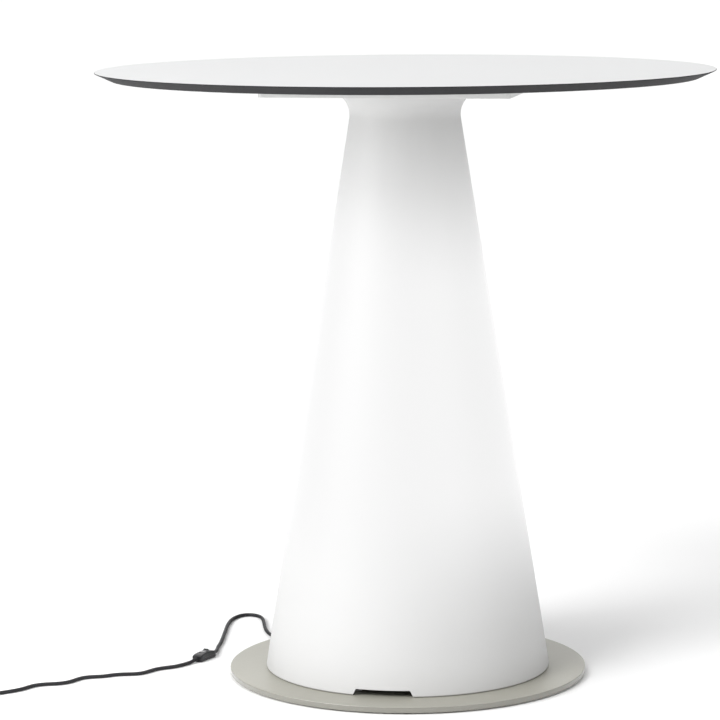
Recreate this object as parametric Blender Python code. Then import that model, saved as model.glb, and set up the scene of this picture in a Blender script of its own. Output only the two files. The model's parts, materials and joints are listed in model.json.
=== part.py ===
"""Round table with a lit column.

A compact laminate top stands on a moulded, translucent cone and a steel base disc. LED boards
on a tie rod light the cone from inside, and a cord with an inline rocker switch feeds them.
Metres, +Z up. The origin is on the floor, on the column's axis. One cord notch faces -Y, and
the cord leaves by the notch at the rear left.
"""
import math

import bmesh
import bpy
import numpy as np
from mathutils import Matrix, Vector

# Clearances
CLEAR = 0.0003               # between two parts that touch
SCREW_CLEAR = 0.0005         # around a screw, in radius
OVERRUN = 0.003              # how far a cutter runs past its wall

# Faces round a full turn
TOP_SEGMENTS = 96
BASE_SEGMENTS = 72
COLUMN_SEGMENTS = 64
HUB_SEGMENTS = 32
ROD_SEGMENTS = 16
HOLE_SEGMENTS = 12
ARC_STEPS = 6
SHARP_ANGLE = math.radians(35)
ROUND_MIDDLE = 1 - math.cos(math.pi / 4)    # inset of a round edge's middle, as a share of its radius

# Table top
TABLE_HEIGHT = 0.745
TOP_DIAMETER = 0.750
TOP_THICKNESS = 0.010
TOP_LAND = 0.0025            # upright band at the rim, above the under-bevel
TOP_BEVEL_INSET = 0.028
TOP_EDGE_BREAK = 0.0004

# Square plate under the top: a pressed tray with its rim turned down
PLATE_SIZE = 0.300
PLATE_THICKNESS = 0.003
PLATE_RIM_DEPTH = 0.0157
PLATE_CORNER = 0.006
PLATE_BEND = 0.002
PLATE_SCREW_OFFSET = 0.125   # of the screws from the plate's centre lines

# Screws from the plate into the top, and the inserts that take them
TOP_SCREW_RADIUS = 0.0025
TOP_SCREW_LENGTH = 0.0095
TOP_SCREW_HEAD_RADIUS = 0.0048
TOP_SCREW_HEAD_HEIGHT = 0.0030
INSERT_RADIUS = 0.0042
INSERT_LENGTH = 0.0065

# Column: a cone that flares at its neck, moulded in one wall
COLUMN_WALL = 0.005
FOOT_RADIUS = 0.1755
FOOT_EDGE = 0.002
FOOT_FLANGE_WIDTH = 0.024
NECK_RADIUS = 0.0675
FLARE_RADIUS = 0.0244
NECK_FLANGE_RADIUS = 0.098

# Cord notches in the column's foot
NOTCH_ANGLES = (-90, 30, 150)
CORD_ANGLE = math.radians(NOTCH_ANGLES[2])
NOTCH_TOP_WIDTH = 0.066
NOTCH_FOOT_WIDTH = 0.074
NOTCH_HEIGHT = 0.008

# Base plate and its glides
BASE_DIAMETER = 0.440
BASE_THICKNESS = 0.007
BASE_EDGE = 0.001
GLIDE_COUNT = 4
GLIDE_INSET = 0.023          # of the glides' centres from the plate's edge
GLIDE_RADIUS = 0.011
GLIDE_THICKNESS = 0.0015
GLIDE_STUD_RADIUS = 0.003
GLIDE_STUD_LENGTH = 0.0045

# Countersunk screws from the base plate into the column's foot
FOOT_SCREW_TURN = 60         # degrees on from each notch
FOOT_SCREW_INSET = 0.0145    # from the column's foot edge
FOOT_SCREW_HEAD_RADIUS = 0.005
FOOT_SCREW_RADIUS = 0.0025
FOOT_SCREW_LENGTH = 0.016

# Hub that closes the neck and carries the plate
HUB_RADIUS = 0.098
HUB_DISC = 0.0067
HUB_WALL = 0.0045
HUB_TIP_ANGLE = math.radians(20)
HUB_WEB_ANGLE = math.radians(60)
HUB_BOSS_RADIUS = 0.019
HUB_BOSS_DEPTH = 0.032
HUB_RIB_COUNT = 6
HUB_RIB_THICKNESS = 0.004
HUB_SCREW_COUNT = 3
HUB_SCREW_CIRCLE = 0.045
HUB_SCREW_HEAD_RADIUS = 0.005
HUB_SCREW_RADIUS = 0.0025
HUB_SCREW_LENGTH = 0.0085

# Tie rod with its bolt, nut and washer
ROD_RADIUS = 0.008
ROD_TAP_DEPTH = 0.026
BOLT_RADIUS = 0.005
BOLT_HEAD_RADIUS = 0.0095
BOLT_LENGTH = 0.028
NUT_ACROSS_FLATS = 0.024
NUT_HEIGHT = 0.008
WASHER_RADIUS = 0.015
WASHER_THICKNESS = 0.0025

# LED post: a square tube on two collars, with a board on each side
POST_BOTTOM = 0.110
POST_HEAD_ROOM = 0.0883      # from the post's top to the lock nut
POST_WIDTH = 0.034
POST_WALL = 0.002
COLLAR_FLANGE = 0.004
COLLAR_PLUG = 0.012
BOARD_WIDTH = 0.016
BOARD_THICKNESS = 0.0016
BOARD_MARGIN = 0.012         # from the post's ends
LED_COUNT = 14
LED_SIZE = 0.005
LED_HEIGHT = 0.0012

# LED driver on the base plate
DRIVER_LENGTH = 0.104
DRIVER_WIDTH = 0.036
DRIVER_HEIGHT = 0.022
DRIVER_EAR = 0.012
DRIVER_EAR_HEIGHT = 0.003
DRIVER_Y = 0.085             # behind the tie rod
DRIVER_EDGE = 0.001
SMALL_SCREW_RADIUS = 0.002
SMALL_SCREW_HEAD_RADIUS = 0.0036
SMALL_SCREW_HEAD_HEIGHT = 0.0022
SMALL_SCREW_LENGTH = 0.0065
SMALL_SCREW_BORE = 0.005     # depth of the tapped hole in the base plate

# Cord, its clamp and the strain relief in the notch
CORD_DIAMETER = 0.0045
INNER_LEAD_DIAMETER = 0.0040
BUSH_RADIUS = 0.0034
BUSH_TIP_RADIUS = 0.0027
BUSH_INSIDE = 0.0475         # of its inner end from the column's foot edge
BUSH_LENGTH = 0.058
BUSH_TAPER = 0.022
CLAMP_INSET = 0.0135         # from the foot flange's inner edge
CLAMP_WIDTH = 0.030
CLAMP_DEPTH = 0.012
CLAMP_THICKNESS = 0.0015
CLAMP_SCREW_OFFSET = 0.0095

# Inline rocker switch
SWITCH_X = -0.2634
SWITCH_Y = 0.0132
SWITCH_ANGLE = math.radians(72)
SWITCH_LENGTH = 0.036
SWITCH_WIDTH = 0.0136
SWITCH_HEIGHT = 0.0104
SWITCH_PARTING = 0.0042
SWITCH_WALL = 0.0015
SWITCH_CHAMFER = 0.0011
SWITCH_POCKET_LENGTH = 0.022
ROCKER_LENGTH = 0.0124
ROCKER_WIDTH = 0.0066
ROCKER_VALLEY = 0.003        # of the rocker's waist above its pin
ROCKER_SKIRT = 0.001
ROCKER_FLARE = 0.0004
ROCKER_BOSS = 0.0022
ROCKER_PROUD = 0.0003
ROCKER_TILT = math.radians(9.5)
PIN_RADIUS = 0.001
PIN_LENGTH = 0.0092
TERMINAL_LENGTH = 0.0036
TERMINAL_WIDTH = 0.005
TERMINAL_HEIGHT = 0.0014
TERMINAL_OFFSET = 0.0068
LEAF_LENGTH = 0.0150
LEAF_WIDTH = 0.003
LEAF_THICKNESS = 0.0004

# Sections of the switch, as shares of its half length, width and height
SWITCH_STATION_SHARES = (
    (-1.00, 0.86, 0.72), (-0.96, 0.96, 0.80), (-0.80, 1.00, 0.88), (-0.45, 0.92, 0.97), (0.00, 0.87, 1.00),
    (0.45, 0.92, 0.97), (0.80, 1.00, 0.88), (0.96, 0.96, 0.80), (1.00, 0.86, 0.72),
)
# Upper half of a switch section, as shares of its width and of its height above the parting
SWITCH_DOME_SHARES = ((1.00, 0.00), (1.00, 0.52), (0.90, 0.86), (0.68, 1.00))

# Plug with two round pins
PLUG_WIDTH = 0.0353
PLUG_HEIGHT = 0.0137
PLUG_LENGTH = 0.034
PLUG_PIN_RADIUS = 0.002
PLUG_PIN_LENGTH = 0.019
PLUG_PIN_SPACING = 0.0186
RELIEF_LENGTH = 0.022
RELIEF_RADIUS = 0.0042
RELIEF_TIP_RADIUS = 0.0030
RELIEF_GROOVE = 0.0006
# Sections of the plug from its pins back to the cord, as shares of its length, width and height
PLUG_STATION_SHARES = (
    (0.00, 0.95, 0.92), (0.04, 1.00, 1.00), (0.34, 1.00, 1.00), (0.66, 0.76, 0.96), (0.92, 0.46, 0.84),
    (1.00, 0.38, 0.74),
)
# Outline of a plug section, as shares of its half width and half height
PLUG_OUTLINE_SHARES = (
    (1.00, -0.42), (1.00, 0.42), (0.78, 1.00), (-0.78, 1.00), (-1.00, 0.42), (-1.00, -0.42), (-0.78, -1.00),
    (0.78, -1.00),
)

# Coil of spare cord
COIL_X = -0.518
COIL_Y = -0.204
COIL_RADIUS = 0.027          # at the middle of its turns
COIL_GAP = 0.0006            # between turns that lie beside or on each other
COIL_TURNS = 6
COIL_ENTRY_ANGLE = math.radians(-49.5)
COIL_EXIT_ANGLE = math.radians(-180)
COIL_POINTS_PER_TURN = 24
COIL_TAIL = 0.014
CORD_STEP = 2.5 * CORD_DIAMETER

# The cord's route, chosen by hand: from the notch over the base plate's rim and down
CORD_DROP = (
    (-0.1746, 0.1021, 0.0124), (-0.1859, 0.1134, 0.0118), (-0.1951, 0.1265, 0.0078),
    (-0.2026, 0.1396, 0.0040),
)
# Along the floor, round its loop, to the switch
CORD_LOOP = (
    (-0.2091, 0.1515), (-0.2156, 0.1651), (-0.2213, 0.1808), (-0.2270, 0.2002), (-0.2326, 0.2209),
    (-0.2380, 0.2375), (-0.2444, 0.2492), (-0.2515, 0.2552), (-0.2603, 0.2572), (-0.2676, 0.2540),
    (-0.2737, 0.2435), (-0.2768, 0.2266), (-0.2762, 0.2047), (-0.2732, 0.1789), (-0.2695, 0.1541),
    (-0.2648, 0.1219), (-0.2607, 0.0904), (-0.2580, 0.0630),
)
# Along the floor from the switch to the coil
CORD_RUN = (
    (-0.2742, -0.0160), (-0.2801, -0.0280), (-0.2880, -0.0394), (-0.3004, -0.0494), (-0.3112, -0.0628),
    (-0.3172, -0.0754), (-0.3250, -0.0832), (-0.3404, -0.0882), (-0.3530, -0.0942), (-0.3630, -0.1022),
    (-0.3748, -0.1070), (-0.3858, -0.1140), (-0.3922, -0.1264), (-0.3972, -0.1370), (-0.4078, -0.1466),
    (-0.4236, -0.1530), (-0.4358, -0.1636), (-0.4428, -0.1782), (-0.4534, -0.1919), (-0.4655, -0.2038),
)

# Heights and radii that follow from the sizes above
BASE_BOTTOM = GLIDE_THICKNESS + CLEAR
BASE_TOP = BASE_BOTTOM + BASE_THICKNESS
COLUMN_BOTTOM = BASE_TOP + CLEAR
TOP_BOTTOM = TABLE_HEIGHT - TOP_THICKNESS
PLATE_TOP = TOP_BOTTOM - CLEAR
PLATE_BOTTOM = PLATE_TOP - PLATE_THICKNESS
HUB_TOP = PLATE_BOTTOM - CLEAR
HUB_SEAT = HUB_TOP - HUB_DISC
NECK_FLANGE_TOP = HUB_SEAT - CLEAR
NECK_Z = NECK_FLANGE_TOP - COLUMN_WALL - FLARE_RADIUS
FLARE_CENTRE = NECK_RADIUS + FLARE_RADIUS
HUB_ARC_RADIUS = FLARE_RADIUS + COLUMN_WALL + CLEAR
WASHER_TOP = HUB_TOP - HUB_BOSS_DEPTH - CLEAR
NUT_TOP = WASHER_TOP - WASHER_THICKNESS - CLEAR
NUT_BOTTOM = NUT_TOP - NUT_HEIGHT
POST_TOP = NUT_BOTTOM - POST_HEAD_ROOM
ROD_BOTTOM = BASE_TOP + CLEAR
GLIDE_CIRCLE = BASE_DIAMETER / 2 - GLIDE_INSET
FOOT_SCREW_CIRCLE = FOOT_RADIUS - FOOT_SCREW_INSET
FLANGE_INNER = FOOT_RADIUS - FOOT_FLANGE_WIDTH
CLAMP_CIRCLE = FLANGE_INNER - CLAMP_INSET
BUSH_START = FOOT_RADIUS - BUSH_INSIDE
BUSH_Z = BASE_TOP + CLEAR + BUSH_RADIUS
CORD_RADIUS = CORD_DIAMETER / 2
CORD_LIE = CORD_RADIUS + CLEAR
COIL_PITCH = CORD_DIAMETER + COIL_GAP
SWITCH_BOTTOM = CLEAR
SWITCH_PIVOT_Z = SWITCH_HEIGHT - ROCKER_VALLEY + ROCKER_PROUD
SWITCH_CORD_Z = SWITCH_HEIGHT * SWITCH_STATION_SHARES[0][2] / 2
ROCKER_END = ROCKER_VALLEY + ROCKER_LENGTH / 2 * math.tan(ROCKER_TILT)
ROCKER_WELL = math.hypot(ROCKER_LENGTH / 2, ROCKER_END) + CLEAR
PLUG_Z = PLUG_HEIGHT / 2 + CLEAR


def lean_angle():
    """How far the cone's wall leans in, so that it runs into the flare without a kink."""
    rise = NECK_Z - COLUMN_BOTTOM
    run = FOOT_RADIUS - FLARE_CENTRE
    return math.asin(FLARE_RADIUS / math.hypot(rise, run)) + math.atan2(run, rise)


LEAN = lean_angle()


def make_material(name, colour, roughness, metallic=0.0, glow=0.0):
    """A Principled material with one colour, and a glow where the plastic is lit from inside."""
    material = bpy.data.materials.new(name)
    material.use_nodes = True
    shader = material.node_tree.nodes["Principled BSDF"]
    shader.inputs["Base Color"].default_value = (*colour, 1.0)
    shader.inputs["Roughness"].default_value = roughness
    shader.inputs["Metallic"].default_value = metallic
    shader.inputs["Emission Color"].default_value = (*colour, 1.0)
    shader.inputs["Emission Strength"].default_value = glow
    return material


def add_object(name, bm, material=None, place=None):
    """Turn a bmesh into a shaded object, with its own origin at the given place."""
    bmesh.ops.recalc_face_normals(bm, faces=bm.faces)
    mesh = bpy.data.meshes.new(name)
    bm.to_mesh(mesh)
    bm.free()
    if material:
        mesh.materials.append(material)
    mesh.shade_smooth()
    mesh.set_sharp_from_angle(angle=SHARP_ANGLE)
    obj = bpy.data.objects.new(name, mesh)
    bpy.context.scene.collection.objects.link(obj)
    if place:
        obj.matrix_world = place
    return obj


def skin(rings, closed=False):
    """Faces between rings of equal count; closed joins the last ring to the first, else both get caps."""
    bm = bmesh.new()
    loops = [[bm.verts.new(point) for point in ring] for ring in rings]
    pairs = list(zip(loops, loops[1:]))
    if closed:
        pairs.append((loops[-1], loops[0]))
    else:
        bm.faces.new(loops[0])
        bm.faces.new(loops[-1])
    for low, high in pairs:
        for i in range(len(low)):
            j = (i + 1) % len(low)
            bm.faces.new((low[i], low[j], high[j], high[i]))
    return bm


def turned(profile, segments, closed=False):
    """Turn a profile of (radius, z) points about the Z axis."""
    angles = [2 * math.pi * i / segments for i in range(segments)]
    rings = [[(r * math.cos(a), r * math.sin(a), z) for a in angles] for r, z in profile]
    return skin(rings, closed)


def prism(outline, depth, place=None):
    """Push an outline of (x, z) points along Y, half to each side."""
    rings = [[(x, y, z) for x, z in outline] for y in (-depth / 2, depth / 2)]
    bm = skin(rings)
    if place:
        bmesh.ops.transform(bm, matrix=place, verts=bm.verts)
    return bm


def block(low, high):
    """A box between two corners."""
    (x0, y0, z0), (x1, y1, z1) = low, high
    return skin([[(x0, y0, z), (x1, y0, z), (x1, y1, z), (x0, y1, z)] for z in (z0, z1)])


def arc(centre, radius, start, end, steps=ARC_STEPS):
    """Points on an arc in a profile's plane, angles from its first axis."""
    turns = [start + (end - start) * i / steps for i in range(steps + 1)]
    return [(centre[0] + radius * math.cos(t), centre[1] + radius * math.sin(t)) for t in turns]


def stamp(target, pattern, places):
    """Add a copy of a pattern solid to the target at each place."""
    bmesh.ops.recalc_face_normals(pattern, faces=pattern.faces)
    mesh = bpy.data.meshes.new("pattern")
    pattern.to_mesh(mesh)
    pattern.free()
    for place in places:
        copy = mesh.copy()
        copy.transform(place)
        target.from_mesh(copy)
        bpy.data.meshes.remove(copy)
    bpy.data.meshes.remove(mesh)


def copies(name, pattern, places, material):
    """An object for each place, all on one mesh."""
    first = add_object(f"{name}_1", pattern, material, places[0])
    for number, place in enumerate(places[1:], 2):
        obj = bpy.data.objects.new(f"{name}_{number}", first.data)
        bpy.context.scene.collection.objects.link(obj)
        obj.matrix_world = place


def combine(obj, tool, operation, place=None):
    """Cut a tool solid out of an object, or join it to the object, with a Boolean modifier."""
    guide = add_object(obj.name + "_" + operation.lower(), tool, None, place)
    guide.hide_render = True
    guide.display_type = "WIRE"
    modifier = obj.modifiers.new(operation.title(), "BOOLEAN")
    modifier.operation = operation
    modifier.object = guide


def bevel(obj, width, segments=1):
    """Break an object's sharp edges."""
    modifier = obj.modifiers.new("Bevel", "BEVEL")
    modifier.width = width
    modifier.segments = segments
    modifier.limit_method = "ANGLE"
    modifier.angle_limit = SHARP_ANGLE


def around(count, radius, z=0.0, offset=0.0):
    """Places spaced evenly on a circle."""
    turns = [offset + 2 * math.pi * i / count for i in range(count)]
    return [Matrix.Translation((radius * math.cos(t), radius * math.sin(t), z)) for t in turns]


def pan_screw(radius, length, head_radius, head_height):
    """A pan head screw that points up, with the underside of its head at z = 0."""
    crown = head_radius / 2
    profile = [(crown, -head_height), (head_radius, -head_height / 2), (head_radius, 0), (radius, 0),
               (radius, length)]
    return turned(profile, HOLE_SEGMENTS)


def countersunk_screw(radius, length, head_radius):
    """A countersunk screw that points up, with its flat face at z = 0."""
    return turned([(head_radius, 0), (radius, head_radius - radius), (radius, length)], HOLE_SEGMENTS)


def countersink(radius, length, head_radius):
    """The cutter for a countersunk screw's hole, open below."""
    wide = head_radius + SCREW_CLEAR
    narrow = radius + SCREW_CLEAR
    return turned([(wide, -OVERRUN), (wide, 0), (narrow, wide - narrow), (narrow, length)], HOLE_SEGMENTS)


def drill(radius, low, high):
    """A round cutter between two heights."""
    return turned([(radius, low), (radius, high)], HOLE_SEGMENTS)


def make_table_top(laminate):
    radius = TOP_DIAMETER / 2
    profile = [
        (radius - TOP_EDGE_BREAK, TABLE_HEIGHT),
        (radius, TABLE_HEIGHT - TOP_EDGE_BREAK),
        (radius, TABLE_HEIGHT - TOP_LAND),
        (radius - TOP_BEVEL_INSET, TOP_BOTTOM),
    ]
    top = add_object("table_top", turned(profile, TOP_SEGMENTS), laminate)
    bores = bmesh.new()
    depth = INSERT_LENGTH + 2 * CLEAR
    reach = depth + TOP_SCREW_RADIUS / 2
    stamp(bores, drill(INSERT_RADIUS + CLEAR, -OVERRUN, reach), top_screw_places(TOP_BOTTOM))
    combine(top, bores, "DIFFERENCE")


def top_screw_places(z):
    """Near the plate's four corners."""
    sides = (-PLATE_SCREW_OFFSET, PLATE_SCREW_OFFSET)
    return [Matrix.Translation((x, y, z)) for x in sides for y in sides]


def make_inserts(brass):
    inner = TOP_SCREW_RADIUS + CLEAR
    low, high = CLEAR, CLEAR + INSERT_LENGTH
    profile = [(INSERT_RADIUS, low), (INSERT_RADIUS, high), (inner, high), (inner, low)]
    copies("threaded_insert", turned(profile, HOLE_SEGMENTS, True), top_screw_places(TOP_BOTTOM), brass)


def make_top_screws(zinc):
    screw = pan_screw(TOP_SCREW_RADIUS, TOP_SCREW_LENGTH, TOP_SCREW_HEAD_RADIUS, TOP_SCREW_HEAD_HEIGHT)
    copies("top_screw", screw, top_screw_places(PLATE_BOTTOM - CLEAR), zinc)


def plate_ring(offset, z, steps=3):
    """The plate's square outline with round corners, drawn in by an offset."""
    centre = PLATE_SIZE / 2 - PLATE_CORNER
    radius = PLATE_CORNER - offset
    ring = []
    for quarter, (sx, sy) in enumerate(((1, 1), (-1, 1), (-1, -1), (1, -1))):
        start = quarter * math.pi / 2
        corner = arc((sx * centre, sy * centre), radius, start, start + math.pi / 2, steps)
        ring += [(x, y, z) for x, y in corner]
    return ring


def make_top_plate(white_steel):
    rim = PLATE_TOP - PLATE_RIM_DEPTH
    turned_in = PLATE_BEND * ROUND_MIDDLE
    rings = [
        plate_ring(PLATE_THICKNESS, PLATE_BOTTOM),
        plate_ring(PLATE_THICKNESS, rim),
        plate_ring(0, rim),
        plate_ring(0, PLATE_TOP - PLATE_BEND),
        plate_ring(turned_in, PLATE_TOP - turned_in),
        plate_ring(PLATE_BEND, PLATE_TOP),
    ]
    plate = add_object("top_plate", skin(rings), white_steel)
    holes = bmesh.new()
    through = PLATE_THICKNESS + OVERRUN
    stamp(holes, drill(TOP_SCREW_RADIUS + SCREW_CLEAR, -OVERRUN, through), top_screw_places(PLATE_BOTTOM))
    sink = countersink(HUB_SCREW_RADIUS, through, HUB_SCREW_HEAD_RADIUS)
    stamp(holes, sink, hub_screw_places())
    combine(plate, holes, "DIFFERENCE")


def hub_screw_places():
    """The hub's screws point down from the plate's upper face, between the hub's ribs."""
    flip = Matrix.Rotation(math.pi, 4, "X")
    ring = around(HUB_SCREW_COUNT, HUB_SCREW_CIRCLE, PLATE_TOP, math.pi / HUB_RIB_COUNT)
    return [place @ flip for place in ring]


def make_hub_screws(zinc):
    screw = countersunk_screw(HUB_SCREW_RADIUS, HUB_SCREW_LENGTH, HUB_SCREW_HEAD_RADIUS)
    copies("hub_screw", screw, hub_screw_places(), zinc)


def flare_point(radius, angle):
    """A point at an angle above the neck, at a radius from the flare's centre."""
    return FLARE_CENTRE - radius * math.cos(angle), NECK_Z + radius * math.sin(angle)


def make_hub(cast):
    """Cast hub: a disc with a curved spigot that seats in the flared neck, a boss and ribs."""
    bore = ROD_RADIUS + CLEAR
    inner_radius = HUB_ARC_RADIUS + HUB_WALL
    outer = [flare_point(HUB_ARC_RADIUS, math.pi / 2 - (math.pi / 2 - HUB_TIP_ANGLE) * i / ARC_STEPS)
             for i in range(ARC_STEPS + 1)]
    inner = [flare_point(inner_radius, HUB_TIP_ANGLE + (HUB_WEB_ANGLE - HUB_TIP_ANGLE) * i / ARC_STEPS)
             for i in range(ARC_STEPS + 1)]
    web = inner[-1][1]
    boss = HUB_TOP - HUB_BOSS_DEPTH
    profile = [(bore, HUB_TOP), (HUB_RADIUS, HUB_TOP), (HUB_RADIUS, HUB_SEAT)] + outer + inner
    profile += [(HUB_BOSS_RADIUS, web), (HUB_BOSS_RADIUS, boss), (bore, boss)]
    hub = add_object("neck_hub", turned(profile, HUB_SEGMENTS, True), cast)
    middle = HUB_ARC_RADIUS + HUB_WALL / 2
    root = HUB_BOSS_RADIUS - HUB_WALL / 2
    tip = flare_point(middle, HUB_TIP_ANGLE)
    shoulder = flare_point(middle, HUB_WEB_ANGLE)
    above = web + HUB_WALL / 2
    outline = [(root, above), (shoulder[0], above), shoulder, tip, (root, boss + HUB_WALL)]
    ribs = bmesh.new()
    turns = [Matrix.Rotation(2 * math.pi * i / HUB_RIB_COUNT, 4, "Z") for i in range(HUB_RIB_COUNT)]
    stamp(ribs, prism(outline, HUB_RIB_THICKNESS), turns)
    combine(hub, ribs, "UNION")
    taps = bmesh.new()
    reach = PLATE_THICKNESS + HUB_TOP - web + OVERRUN
    stamp(taps, drill(HUB_SCREW_RADIUS + CLEAR, 0, reach), hub_screw_places())
    combine(hub, taps, "DIFFERENCE")


def column_profile():
    """Half section of the column: up the outside, over the neck flange and down the inside."""
    steps = [-LEAN + (math.pi / 2 + LEAN) * i / ARC_STEPS for i in range(ARC_STEPS + 1)]
    outer = [flare_point(FLARE_RADIUS, t) for t in steps]
    inner = [flare_point(FLARE_RADIUS + COLUMN_WALL, t) for t in reversed(steps)]
    flange_top = COLUMN_BOTTOM + COLUMN_WALL
    last_radius, last_z = inner[-1]
    wall_foot = last_radius + math.tan(LEAN) * (last_z - flange_top)
    middle = FOOT_EDGE * ROUND_MIDDLE
    foot = [
        (FOOT_RADIUS - FOOT_EDGE, COLUMN_BOTTOM),
        (FOOT_RADIUS - middle, COLUMN_BOTTOM + middle),
        (FOOT_RADIUS - FOOT_EDGE * math.tan(LEAN), COLUMN_BOTTOM + FOOT_EDGE),
    ]
    neck_flange = [(NECK_FLANGE_RADIUS, NECK_FLANGE_TOP - COLUMN_WALL), (NECK_FLANGE_RADIUS, NECK_FLANGE_TOP)]
    flange = [(wall_foot, flange_top), (FLANGE_INNER, flange_top), (FLANGE_INNER, COLUMN_BOTTOM)]
    return foot + outer + neck_flange + inner + flange


def foot_screw_places(z):
    angles = [math.radians(notch + FOOT_SCREW_TURN) for notch in NOTCH_ANGLES]
    radius = FOOT_SCREW_CIRCLE
    return [Matrix.Translation((radius * math.cos(a), radius * math.sin(a), z)) for a in angles]


def make_column(polyethylene):
    column = add_object("column", turned(column_profile(), COLUMN_SEGMENTS, True), polyethylene)
    inside = FLANGE_INNER - OVERRUN
    flare = (NOTCH_FOOT_WIDTH - NOTCH_TOP_WIDTH) / 2 * OVERRUN / NOTCH_HEIGHT
    low, high = COLUMN_BOTTOM - OVERRUN, COLUMN_BOTTOM + NOTCH_HEIGHT
    wide, narrow = NOTCH_FOOT_WIDTH / 2 + flare, NOTCH_TOP_WIDTH / 2
    sides = [[(x, -wide, low), (x, wide, low), (x, narrow, high), (x, -narrow, high)]
             for x in (inside, FOOT_RADIUS + OVERRUN)]
    cuts = bmesh.new()
    stamp(cuts, skin(sides), [Matrix.Rotation(math.radians(angle), 4, "Z") for angle in NOTCH_ANGLES])
    holes = drill(FOOT_SCREW_RADIUS + CLEAR, -OVERRUN, COLUMN_WALL + OVERRUN)
    stamp(cuts, holes, foot_screw_places(COLUMN_BOTTOM))
    combine(column, cuts, "DIFFERENCE")


def small_screw_places():
    """The driver's two screws and the cord clamp's two screws, on the base plate's upper face."""
    driver = (DRIVER_LENGTH + DRIVER_EAR) / 2
    points = [(side * driver, DRIVER_Y) for side in (-1, 1)]
    turn = Matrix.Rotation(CORD_ANGLE, 4, "Z")
    clamp = [turn @ Vector((CLAMP_CIRCLE, side * CLAMP_SCREW_OFFSET, 0)) for side in (-1, 1)]
    return points, [(point.x, point.y) for point in clamp]


def make_base_plate(paint):
    radius = BASE_DIAMETER / 2
    middle = BASE_EDGE * ROUND_MIDDLE
    profile = [
        (radius - BASE_EDGE, BASE_BOTTOM),
        (radius, BASE_BOTTOM + BASE_EDGE),
        (radius, BASE_TOP - BASE_EDGE),
        (radius - middle, BASE_TOP - middle),
        (radius - BASE_EDGE, BASE_TOP),
    ]
    plate = add_object("base_plate", turned(profile, BASE_SEGMENTS), paint)
    through = BASE_THICKNESS + OVERRUN
    cuts = bmesh.new()
    bolt = countersink(BOLT_RADIUS, through, BOLT_HEAD_RADIUS)
    stamp(cuts, bolt, [Matrix.Translation((0, 0, BASE_BOTTOM))])
    foot = countersink(FOOT_SCREW_RADIUS, through, FOOT_SCREW_HEAD_RADIUS)
    stamp(cuts, foot, foot_screw_places(BASE_BOTTOM))
    stud = drill(GLIDE_STUD_RADIUS + CLEAR, -OVERRUN, GLIDE_STUD_LENGTH)
    stamp(cuts, stud, glide_places(BASE_BOTTOM))
    driver, clamp = small_screw_places()
    tapped = [Matrix.Translation((x, y, BASE_TOP)) for x, y in driver + clamp]
    stamp(cuts, drill(SMALL_SCREW_RADIUS + CLEAR, -SMALL_SCREW_BORE, OVERRUN), tapped)
    combine(plate, cuts, "DIFFERENCE")


def glide_places(z):
    return around(GLIDE_COUNT, GLIDE_CIRCLE, z, math.pi / GLIDE_COUNT)


def make_glides(black):
    profile = [(GLIDE_RADIUS, 0), (GLIDE_RADIUS, GLIDE_THICKNESS), (GLIDE_STUD_RADIUS, GLIDE_THICKNESS),
               (GLIDE_STUD_RADIUS, GLIDE_THICKNESS + GLIDE_STUD_LENGTH)]
    copies("glide_pad", turned(profile, ROD_SEGMENTS), glide_places(0), black)


def make_foot_screws(zinc):
    screw = countersunk_screw(FOOT_SCREW_RADIUS, FOOT_SCREW_LENGTH, FOOT_SCREW_HEAD_RADIUS)
    copies("foot_screw", screw, foot_screw_places(BASE_BOTTOM), zinc)


def make_tie_rod(zinc):
    """Rod from the base plate to the hub, with a tapped hole at its foot, its bolt, nut and washer."""
    tap = BOLT_RADIUS + CLEAR
    profile = [(tap, ROD_BOTTOM + ROD_TAP_DEPTH), (tap, ROD_BOTTOM), (ROD_RADIUS, ROD_BOTTOM),
               (ROD_RADIUS, HUB_TOP)]
    add_object("tie_rod", turned(profile, ROD_SEGMENTS), zinc)
    bolt = countersunk_screw(BOLT_RADIUS, BOLT_LENGTH, BOLT_HEAD_RADIUS)
    add_object("base_bolt", bolt, zinc, Matrix.Translation((0, 0, BASE_BOTTOM)))
    bore = ROD_RADIUS + CLEAR
    low = WASHER_TOP - WASHER_THICKNESS
    washer = [(bore, low), (WASHER_RADIUS, low), (WASHER_RADIUS, WASHER_TOP), (bore, WASHER_TOP)]
    add_object("lock_washer", turned(washer, HOLE_SEGMENTS * 2, True), zinc)
    across = NUT_ACROSS_FLATS / 2 / math.cos(math.pi / 6)
    nut = add_object("lock_nut", turned([(across, NUT_BOTTOM), (across, NUT_TOP)], 6), zinc)
    combine(nut, drill(bore, NUT_BOTTOM - OVERRUN, NUT_TOP + OVERRUN), "DIFFERENCE")


def square_ring(half, z):
    return [(half, half, z), (-half, half, z), (-half, -half, z), (half, -half, z)]


def make_led_post(aluminium, black):
    """Square tube round the tie rod, and the two collars that centre it there."""
    outer, inner = POST_WIDTH / 2, POST_WIDTH / 2 - POST_WALL
    rings = [square_ring(outer, POST_BOTTOM), square_ring(outer, POST_TOP), square_ring(inner, POST_TOP),
             square_ring(inner, POST_BOTTOM)]
    add_object("led_post", skin(rings, True), aluminium)
    for name, seat, side in (("post_collar_lower", POST_BOTTOM, 1), ("post_collar_upper", POST_TOP, -1)):
        flange = seat - side * (CLEAR + COLLAR_FLANGE)
        shoulder = seat - side * CLEAR
        plug = seat + side * COLLAR_PLUG
        fit = inner - CLEAR
        shape = [square_ring(outer, flange), square_ring(outer, shoulder), square_ring(fit, shoulder),
                 square_ring(fit, plug)]
        collar = add_object(name, skin(shape), black)
        low, high = min(flange, plug) - OVERRUN, max(flange, plug) + OVERRUN
        combine(collar, drill(ROD_RADIUS + CLEAR, low, high), "DIFFERENCE")


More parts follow.
